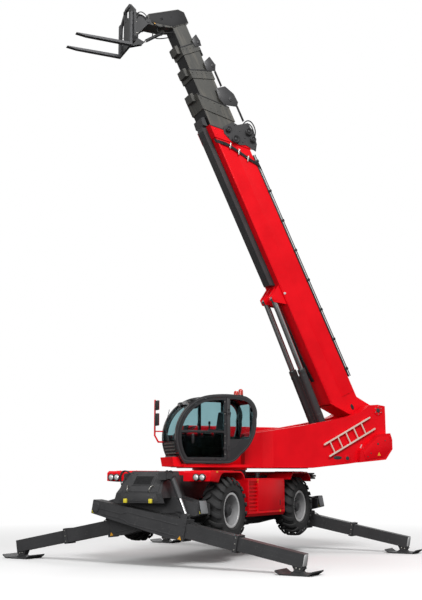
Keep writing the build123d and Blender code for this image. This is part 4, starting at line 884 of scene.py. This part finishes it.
def cabOutline(inset):
    # the cab's side outline moved inwards, as a closed list of points
    points = [point for arc in cabArcs for point in arcPoints(*arc, cab["arcSteps"])] + [cabArcs[-1][2]]
    inner = []
    for index, (y, z) in enumerate(points):
        before, after = Vector(points[index - 1]), Vector(points[(index + 1) % len(points)])
        tangent = (after - before).normalized()
        inner.append((y + tangent.y * inset, z - tangent.x * inset))
    return inner


tubes = [hose([(x, y, z) for y, z in cabOutline(0.030)], cab["tube"], closed=True)
         for x in (cab["outer"] - 0.030, cab["inner"] + 0.030)]
tubes.append(block((0.040, 0.075, 1.28), (cab["outer"] - 0.016, -0.358, 2.80), 0.014))
settle(tubes, "cab_frame_tubes", "turret", "cabTube")

seatX = 0.845
pillars = []
for y, width, low, high in ((-0.72, 0.075, 2.62, 3.46), (-0.16, 0.055, 2.62, 3.47)):
    pillars.append(block((0.035, width, high - low), (cab["inner"] + 0.035, y, (low + high) / 2), 0.008))
pillars += [block((0.05, 0.04, 0.80), (x, 0.235, 2.95), 0.008) for x in (0.55, 1.14)]
pillars.append(block((0.62, 0.05, 0.06), (seatX, 0.215, 2.60), 0.01))
settle(pillars, "cab_inner_pillars", "turret", "cabBlack")

slats = [block((0.58, 0.020, 0.030), (seatX, -1.592 + abs(z - 2.46) * 0.10, z), 0.006)
         for z in (2.455, 2.385, 2.315, 2.245, 2.175)]
settle(slats, "cab_front_slats", "turret", "boomGrey")

doorX = cab["outer"] + 0.004
gear = [
    block((0.030, 0.030, 0.150), (doorX + 0.022, -1.215, 2.560), 0.008),
    block((0.024, 0.060, 0.200), (doorX + 0.004, -1.215, 2.560), 0.006),
    block((0.010, 0.800, 0.040), (doorX - 0.006, -0.900, 2.710), 0.006),
]
gear += [block((0.014, 0.085, 0.050), (doorX + 0.006, -0.460, z), 0.005) for z in (2.35, 3.15)]
settle(gear, "door_gear", "door", "cabBlack")
studs = boltRow([(doorX + 0.004, -0.455, z) for z in (2.23, 2.47, 2.62, 2.88, 3.10, 3.36)], "x", 0.010, 0.012)
studs.append(rod(0.014, 0.02, (doorX + 0.006, -1.215, 2.645), "x", 16, 0.003))
settle(studs, "door_studs", "door", "steel")
lowerPanel = pressed([(-1.36, 2.145), (-0.52, 2.145), (-0.52, 2.655), (-1.452, 2.655), (-1.445, 2.40),
                      (-1.405, 2.24)], "x", cab["outer"] - 0.036, 0.003, 0)
settle(lowerPanel, "door_lower_film", "door", "smoke")

wiper = [
    hose([(0.82, -1.608, 2.545), (0.70, -1.615, 2.70), (0.62, -1.590, 2.90), (0.60, -1.545, 3.02)], 0.008),
    block((0.012, 0.012, 0.46), (0.60, -1.552, 2.98), 0.003, (-0.24, 0.0, 0.0)),
    rod(0.022, 0.05, (0.82, -1.600, 2.535), "y", 20, 0.004),
]
settle(wiper, "windscreen_wiper", "turret", "plastic")

crown = {"edge": 0.82, "rise": 0.25}


def cushion(size, at, tilt):
    # a padded block: subdivided, its faces crowned and its edges drawn in
    deselectAll()
    bpy.ops.mesh.primitive_cube_add(size=1, location=(0, 0, 0), scale=size)
    piece = bpy.context.object
    bpy.ops.object.transform_apply(location=True, rotation=True, scale=True)
    bpy.ops.object.mode_set(mode="EDIT")
    bpy.ops.mesh.select_all(action="SELECT")
    bpy.ops.mesh.subdivide(number_cuts=5)
    bpy.ops.object.mode_set(mode="OBJECT")
    thin = min(range(3), key=lambda axis: size[axis])
    for vertex in piece.data.vertices:
        nearness = 1.0
        for axis in range(3):
            if axis != thin:
                nearness *= 1 - (2 * vertex.co[axis] / size[axis]) ** 4
        vertex.co[thin] *= crown["edge"] + crown["rise"] * nearness
    roundEdges(piece, min(size) * 0.16, 3, 50)
    softer = piece.modifiers.new("soft", "SUBSURF")
    softer.levels = 1
    softer.render_levels = 1
    bpy.ops.object.modifier_apply(modifier="soft")
    return moved(piece, Matrix.LocRotScale(Vector(at), Matrix.Rotation(tilt, 3, "X"), None))


seatParts = [
    ("seat_cushion", (0.50, 0.50, 0.13), (seatX, -0.610, 2.555), 0.06),
    ("seat_back", (0.48, 0.13, 0.62), (seatX, -0.315, 2.860), -0.16),
    ("seat_headrest", (0.26, 0.09, 0.17), (seatX, -0.245, 3.245), -0.14),
]
for name, size, at, tilt in seatParts:
    pad = settle(cushion(size, at, tilt), name, "turret", "seat", angle=60)
trim = [
    block((0.36, 0.38, 0.10), (seatX, -0.61, 2.135), 0.01),
    block((0.30, 0.30, 0.16), (seatX, -0.61, 2.26), 0.03),
    block((0.44, 0.44, 0.10), (seatX, -0.61, 2.435), 0.02),
    block((0.62, 0.86, 0.015), (seatX, -0.86, 2.094), 0.005),
    rod(0.012, 0.16, (seatX, -0.262, 3.155), "z", 12, 0.002),
]
# armrests with their levers
for x in (seatX + 0.30, seatX - 0.30):
    trim.append(block((0.085, 0.34, 0.060), (x, -0.640, 2.735), 0.02))
    trim.append(block((0.11, 0.20, 0.30), (x, -0.560, 2.560), 0.02))
    trim.append(rod(0.018, 0.13, (x, -0.775, 2.820), "z", 14, 0.006))
    trim.append(rod(0.026, 0.07, (x, -0.775, 2.900), "z", 16, 0.012))
trim += [
    block((0.30, 0.13, 0.42), (seatX, -1.300, 2.300), 0.03, (0.22, 0, 0)),
    block((0.34, 0.12, 0.18), (seatX, -1.395, 2.590), 0.03, (-0.3, 0, 0)),
    rod(0.028, 0.30, (seatX, -1.215, 2.560), "z", 20, 0.006),
    block((0.22, 0.035, 0.17), (1.060, -1.300, 2.760), 0.012, (-0.25, 0, 0)),
    block((0.09, 0.62, 0.055), (cab["outer"] - 0.15, -0.90, 3.395), 0.012),
    block((0.62, 0.10, 0.10), (seatX, -1.08, 3.265), 0.025, (0.5, 0, 0)),
]
settle(trim, "cab_trim_and_levers", "turret", "plastic")
wheelLean = (0.55, 0, 0)
deselectAll()
bpy.ops.mesh.primitive_torus_add(
    location=(seatX, -1.165, 2.735), rotation=wheelLean, major_radius=0.185, minor_radius=0.014,
    major_segments=48, minor_segments=10,
)
wheel = bpy.context.object
bpy.ops.object.transform_apply(location=True, rotation=True, scale=True)
spokes = [block((0.34, 0.022, 0.012), (seatX, -1.165, 2.732), 0.004, wheelLean),
          block((0.022, 0.17, 0.012), (seatX, -1.090, 2.780), 0.004, wheelLean),
          rod(0.045, 0.03, (seatX, -1.165, 2.73), "z", 24, 0.008)]
settle([wheel, *spokes], "steering_wheel", "turret", "plastic")
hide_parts("cab_interior")
print("cab inside done")

# mirrors, beacons and lamps on the cab

mirrors = {"x": 0.595, "heights": ((3.290, 0.100), (2.980, 0.130))}
mirrorBacks, mirrorGlasses = [], []
for z, half in mirrors["heights"]:
    mirrorBacks.append(block((0.158, 0.050, 2 * half + 0.010), (mirrors["x"], -1.786, z), 0.014))
    mirrorGlasses.append(block((0.136, 0.004, 2 * half - 0.016), (mirrors["x"], -1.760, z), 0.001))
settle(mirrorBacks, "mirror_housings", "turret", "plastic")
settle(mirrorGlasses, "mirror_glasses", "turret", "chrome")

domes, bases = [], []
for x, y, foot in ((1.000, 0.060, 3.500), (0.640, 0.120, 3.490)):
    profile = [(0.0, 0.001), (0.0, 0.052), (0.045, 0.054), (0.105, 0.052), (0.130, 0.040), (0.142, 0.020),
               (0.145, 0.001)]
    stand = Matrix.Translation((x, y, foot + 0.040)) @ Matrix.Rotation(-math.pi / 2, 4, "Y")
    domes.append(moved(spun(profile, 32), stand))
    base = spun([(-0.052, 0.001), (-0.052, 0.058), (0.0, 0.060), (0.010, 0.056), (0.010, 0.001)], 32)
    bases.append(moved(base, stand))
settle(domes, "beacon_lenses", "turret", "beacon")
settle(bases, "beacon_bases", "turret", "plastic")

lampBodies, lampFaces = [], []
for x in (0.60, 1.09):
    lampBodies.append(block((0.13, 0.07, 0.09), (x, -1.235, 3.325), 0.02, (0.6, 0, 0)))
    lampFaces.append(block((0.105, 0.006, 0.066), (x, -1.267, 3.302), 0.003, (0.6, 0, 0)))
settle(lampBodies, "work_lamp_bodies", "turret", "plastic")
settle(lampFaces, "work_lamp_faces", "turret", "lens")
print("cab outside done")

# boom: head strips and bolts, side panels, pipes, hoses, sheaves and brackets

heads = [
    # body, half width, lower and upper edge, head, slant, length of the head
    ("boom", 0.350, -0.920, -0.170, 7.960, 0.580, 0.330),
    ("section_2", 0.305, -0.890, -0.250, 8.780, 0.560, 0.400),
    ("section_3", 0.265, -0.800, -0.270, 9.410, 0.200, 0.240),
    ("section_4", 0.230, -0.760, -0.310, 9.990, 0.0, 0.220),
]
for body, half, low, high, head, slant, length in heads:
    face = half + 0.022
    base, top = low - 0.022, high + 0.022
    edge = [(head, base), (head - slant, top), (head - slant - 0.032, top), (head - 0.032, base)]
    strips = [pressed(edge, "x", face, 0.008, 0.002)]
    bolts = boltRow([(x, head + 0.006, base + 0.012) for x in (0.06, 0.15)], "y", 0.010, 0.010)
    for share in (0.10, 0.30, 0.50, 0.70, 0.90):
        y, z = head - slant * share - 0.085, base + (top - base) * share
        bolts += boltRow([(face + 0.006, y, z)], "x", 0.015, 0.014)
        bolts += boltRow([(face + 0.006, y - length + 0.19, z)], "x", 0.012, 0.012)
    settle(twinned(strips), "head_wear_strips_" + body, body, "plastic")
    finish = "red" if body == "boom" else "boomGrey"
    settle(twinned(bolts), "head_bolts_" + body, body, finish)

boomSide, clampX = 0.348, -0.320
crease = [(boomSide, -0.565), (0.368, -0.500), (0.368, -0.195), (boomSide, -0.180)]
panels = [pressed(crease, "y", 0.640, 6.390, 0),
          pressed(oblong(0.62, 7.52, -0.90, -0.875), "x", boomSide, 0.008, 0.002)]
settle(twinned(panels), "boom_side_panels", "boom", "red")

pipes, clamps = [], []
for x, z, radius in ((-0.345, -0.138, 0.017), (-0.348, -0.094, 0.013), (-0.300, -0.140, 0.015)):
    pipes.append(rod(radius, 5.90, (x, 3.95, z), "y", 14, 0.002))
for y in [1.20 + index * 0.79 for index in range(8)]:
    clamps.append(block((0.115, 0.060, 0.100), (clampX, y, -0.125), 0.010))
    clamps += boltRow([(clampX, y, -0.070)], "z", 0.012)
settle(pipes, "boom_top_pipes", "boom", "barrel")
settle(clamps, "boom_pipe_clamps", "boom", "plastic")

headHose = [(0.30, 7.60, -0.950), (0.376, 7.52, -0.900), (0.380, 7.383, -0.697), (0.390, 6.935, -0.369),
            (0.390, 6.778, -0.248), (0.385, 6.68, -0.130), (0.345, 6.55, -0.090)]
hoses = twinned([hose([(x, y - shift, z) for x, y, z in headHose], 0.0145) for shift in (0, 0.034, 0.068)])
clips = twinned([block((0.016, 0.035, 0.150), (0.404, y, z), 0.004, (-0.95, 0, 0))
                 for y, z in ((7.30, -0.665), (7.09, -0.510), (6.86, -0.350))])
# loops over the head
loops = [
    [(-0.345, 7.66, -0.120), (-0.350, 7.76, 0.020), (-0.350, 7.72, 0.180), (-0.345, 7.50, 0.215),
     (-0.340, 7.32, 0.130), (-0.330, 7.10, -0.090)],
    [(-0.318, 7.62, -0.100), (-0.318, 7.70, 0.020), (-0.318, 7.64, 0.150), (-0.318, 7.46, 0.160),
     (-0.318, 7.28, 0.090), (-0.318, 7.04, -0.100)],
    [(0.340, 7.64, -0.110), (0.345, 7.74, 0.030), (0.340, 7.68, 0.180), (0.330, 7.44, 0.170),
     (0.330, 7.26, 0.080), (0.330, 7.08, -0.110)],
]
hoses += [hose(points, 0.015) for points in loops]
settle(hoses, "boom_head_hoses", "boom", "plastic")
settle(clips, "boom_hose_clips", "boom", "steel")

sheaves = {
    "places": ((7.690, -0.545, 0.060), (7.400, -0.470, 0.085), (7.464, -0.042, 0.080),
               (7.250, -0.020, 0.060)),
    "bolts": ((7.74, -0.33), (7.62, 0.02), (7.08, -0.02), (7.03, -0.07), (7.52, -0.60), (7.28, -0.30),
              (7.56, -0.25), (7.36, -0.20)),
}
rims, centres = [], []
for y, z, radius in sheaves["places"]:
    ring = spun([(0.0, radius - 0.030), (0.0, radius + 0.012), (0.012, radius + 0.012),
                 (0.018, radius - 0.004), (0.010, radius - 0.014), (0.010, radius - 0.030)], 36)
    rims.append(moved(ring, Matrix.Translation((0.438, y, z))))
    rims.append(facesOut(copied(ring, Matrix.Translation((-0.006, 0, 0)) @ acrossX)))
    centres.append(rod(radius * 0.42, 0.022, (0.446, y, z), "x", 24, 0.004))
    centres.append(rod(0.013, 0.014, (0.460, y, z), "x", 6, 0.002))
centres += boltRow([(0.398, y, z) for y, z in sheaves["bolts"]], "x", 0.015, 0.014)
settle(rims, "hose_sheave_rims", "boom", "plastic")
settle(twinned(centres), "hose_sheave_bolts", "boom", "dark")

brackets = {
    # body: half width, outline along and up, disc, pipes' height, start and end
    "section_2": (0.329, [(8.747, -0.360), (8.723, -0.102), (8.480, 0.040), (8.248, 0.060),
                          (8.152, -0.020), (8.290, -0.330), (8.500, -0.400)],
                  (8.38, -0.10, 0.060), (0.040, 8.187, 7.780)),
    "section_3": (0.289, [(9.450, -0.370), (9.540, -0.152), (9.304, -0.084), (9.160, -0.160),
                          (9.220, -0.380)],
                  (9.303, -0.165, 0.045), (-0.120, 9.180, 8.780)),
    "section_4": (0.254, [(10.090, -0.400), (10.170, -0.233), (9.992, -0.197), (9.860, -0.220),
                          (9.880, -0.400)],
                  (9.960, -0.262, 0.034), (-0.250, 9.860, 9.640)),
}
for body, (half, outline, (discY, discZ, discRadius), (pipeZ, start, end)) in brackets.items():
    disc = (half + 0.012, discY, discZ)
    parts = [pressed(outline, "x", half, 0.014, 0.003), rod(discRadius, 0.030, disc, "x", 28, 0.005),
             rod(discRadius * 0.4, 0.040, (half + 0.014, discY, discZ), "x", 16, 0.003)]
    parts += boltRow([(half + 0.018, y * 0.85 + discY * 0.15, z * 0.85 + discZ * 0.15) for y, z in outline],
                     "x", 0.011, 0.012)
    for offset in (0.06, 0.10):
        parts.append(rod(0.015, start - end, (half - offset, (start + end) / 2, pipeZ), "y", 12, 0.002))
    parts = twinned(parts)
    parts.append(rod(0.022, 2 * half, (0, outline[2][0] - 0.05, outline[2][1] - 0.045), "x", 18, 0.003))
    settle(parts, "head_bracket_" + body, body, "dark")
# thin black sheets under the sections: painted shade on their undersides, flush enough to slide into the next box
for row, (body, half, low, high, head, slant, length) in enumerate(heads[1:] + [
        ("section_5", 0.200, -0.725, -0.345, 10.500, 0.0, 0.0)]):
    before = heads[row][4]
    # painted shade: a black sheet over the section's whole underside
    skin = pressed(oblong(-half + 0.003, half - 0.003, before - 0.5, head - length - 0.005), "z",
                   low - 0.00005, -0.0002, 0)
    settle(skin, "underside_shade_sheet_" + body, body, "plastic")
print("boom heads done")

# lift cylinders: gland collars and pipes; hoses, rings and painted opening shade on the boom

liftX = 0.210
collar = spun([(0.0, 0.069), (0.0, 0.088), (0.012, 0.094), (0.040, 0.094), (0.040, 0.097), (0.110, 0.097),
               (0.118, 0.092), (0.118, 0.069)], 40)
turned = Matrix.Rotation(-math.pi / 2, 4, "Z")
glands = [moved(collar, Matrix.Translation((liftX, 2.325, 0)) @ turned)]
glands += [rod(0.098, 0.040, (liftX, y, 0), "y", 36, 0.003) for y in (1.150, 0.420)]
ports = [block((0.045, 0.060, 0.030), (0.185, y, -0.104), 0.006) for y in (0.540, 2.150)]
ports.append(rod(0.011, 1.60, (0.180, 1.330, -0.104), "y", 10, 0.002))
settle(twinned(glands), "lift_cylinder_collars", "lift_barrels", "barrel")
settle(twinned(ports), "lift_cylinder_pipes", "lift_barrels", "plastic")
centralHoses = [
    hose([(x, 3.30, -1.000), (x * 1.3, 2.788, -0.985), (x, 2.196, -0.995), (x * 1.2, 1.600, -0.985),
          (x, 1.240, -0.935)], 0.015)
    for x in (-0.050, -0.015, 0.020, 0.055)
]
settle(centralHoses, "boom_underside_hoses", "boom", "plastic")
eyeRing = rod(0.030, 0.020, (0.354, 3.509, -0.880), "x", 24, 0.003)
settle(twinned([eyeRing]), "boom_side_rings", "boom", "pale")
# painted shade: a dark disc standing for the shaded inside of an opening near the boom's foot
openingShade = pressed(ovalOf(0.30, -0.40, 0.075, 0.040, 20), "x", 0.349, 0.006, 0.002)
settle(twinned([openingShade]), "boom_foot_opening_shade", "boom", "plastic")

# neck and carriage: side plates, vents, bolts, cross rod, brackets and hoses

neck = {
    "half": 0.215,
    "plate": [(10.515, -0.735), (10.515, -0.280), (10.778, -0.280), (10.878, -0.398), (10.958, -1.190),
              (10.860, -1.225), (10.765, -1.225), (10.535, -0.750)],
    "bolts": [(10.50, -0.37), (10.70, -0.37), (10.50, -0.66), (10.76, -0.66), (10.748, -0.419),
              (10.80, -1.245), (10.80, -1.355)],
    "vent": [(10.735, -0.975), (10.735, -0.895), (10.800, -0.880), (10.800, -0.960)],
}
face = neck["half"]
parts = [pressed(neck["plate"], "x", face, 0.006, 0.003),
         rod(0.075, 0.014, (face + 0.004, 10.800, -1.300), "x", 32, 0.003),
         *boltRow([(face + 0.008, y, z) for y, z in neck["bolts"]], "x", 0.012, 0.012)]
vents = [pressed(neck["vent"], "x", face - 0.002, 0.008, 0.002),
         pressed(oblong(10.56, 10.62, -0.97, -0.93), "x", face, 0.020, 0.004)]
settle(twinned(parts), "neck_plates_and_bolts", "section_5", "neck")
settle(twinned(vents), "neck_vents", "section_5", "plastic")
neckHoses = twinned([hose([(0.16, 10.40, -0.735), (0.17, 10.42, -0.95), (0.16, 10.506, -1.145),
                           (0.15, 10.62, -1.10), (0.14, 10.66, -0.96)], 0.013)])
neckHoses.append(hose([(-0.232, 10.58, -0.949), (-0.245, 10.56, -1.05), (-0.240, 10.66, -1.16),
                       (-0.228, 10.76, -1.20)], 0.010))
settle(neckHoses, "neck_hoses", "section_5", "plastic")
marker = block((0.012, 0.050, 0.030), (-0.219, 10.700, -1.150), 0.004)
settle(marker, "neck_marker", "section_5", "orange")

carriageBolts = {
    "front": ((0.10, 0.35), (0.20, 0.30), (0.46, 0.02), (0.49, -0.25), (0.51, -0.55), (0.30, -0.655),
              (0.12, -0.655)),
    "rear": ((0.12, 0.34), (0.40, 0.10), (0.48, -0.20), (0.50, -0.50)),
}
parts = [
    block((0.05, 0.09, 0.11), (0.450, 0.370, -0.545), 0.010),
    block((0.100, 0.030, 0.070), (0.160, 0.462, 0.300), 0.008),
    block((0.070, 0.040, 0.560), (0.180, 0.372, -0.10), 0.010),
    rod(0.048, 0.030, (0.232, 0, 0), "x", 28, 0.004),
    *boltRow([(x, 0.461, z) for x, z in carriageBolts["front"]], "y", 0.014, 0.014),
]
parts = twinned(parts) + [rod(0.036, 0.56, (0, 0.355, -0.545), "x", 24, 0.005)]
shine = boltRow([(x, 0.378, z) for x, z in carriageBolts["rear"]], "y", 0.014, 0.014)
shine.append(rod(0.020, 0.16, (0.355, 0.355, -0.545), "x", 18, 0.002))
tubes = [
    hose([(0.256, 0.02, 0.070), (0.275, 0.12, 0.190), (0.275, 0.28, 0.160), (0.270, 0.370, -0.020),
          (0.262, 0.370, -0.300), (0.22, 0.365, -0.510)], 0.012),
    hose([(0.256, 0.05, 0.020), (0.262, 0.14, 0.130), (0.262, 0.27, 0.090), (0.262, 0.340, -0.100),
          (0.262, 0.345, -0.350), (0.20, 0.345, -0.525)], 0.010),
]
settle(parts, "carriage_fittings", "carriage", "dark")
settle(twinned(shine), "carriage_rods_and_bolts", "carriage", "steel")
settle(twinned(tubes), "carriage_hoses", "carriage", "plastic")
print("neck and carriage done")
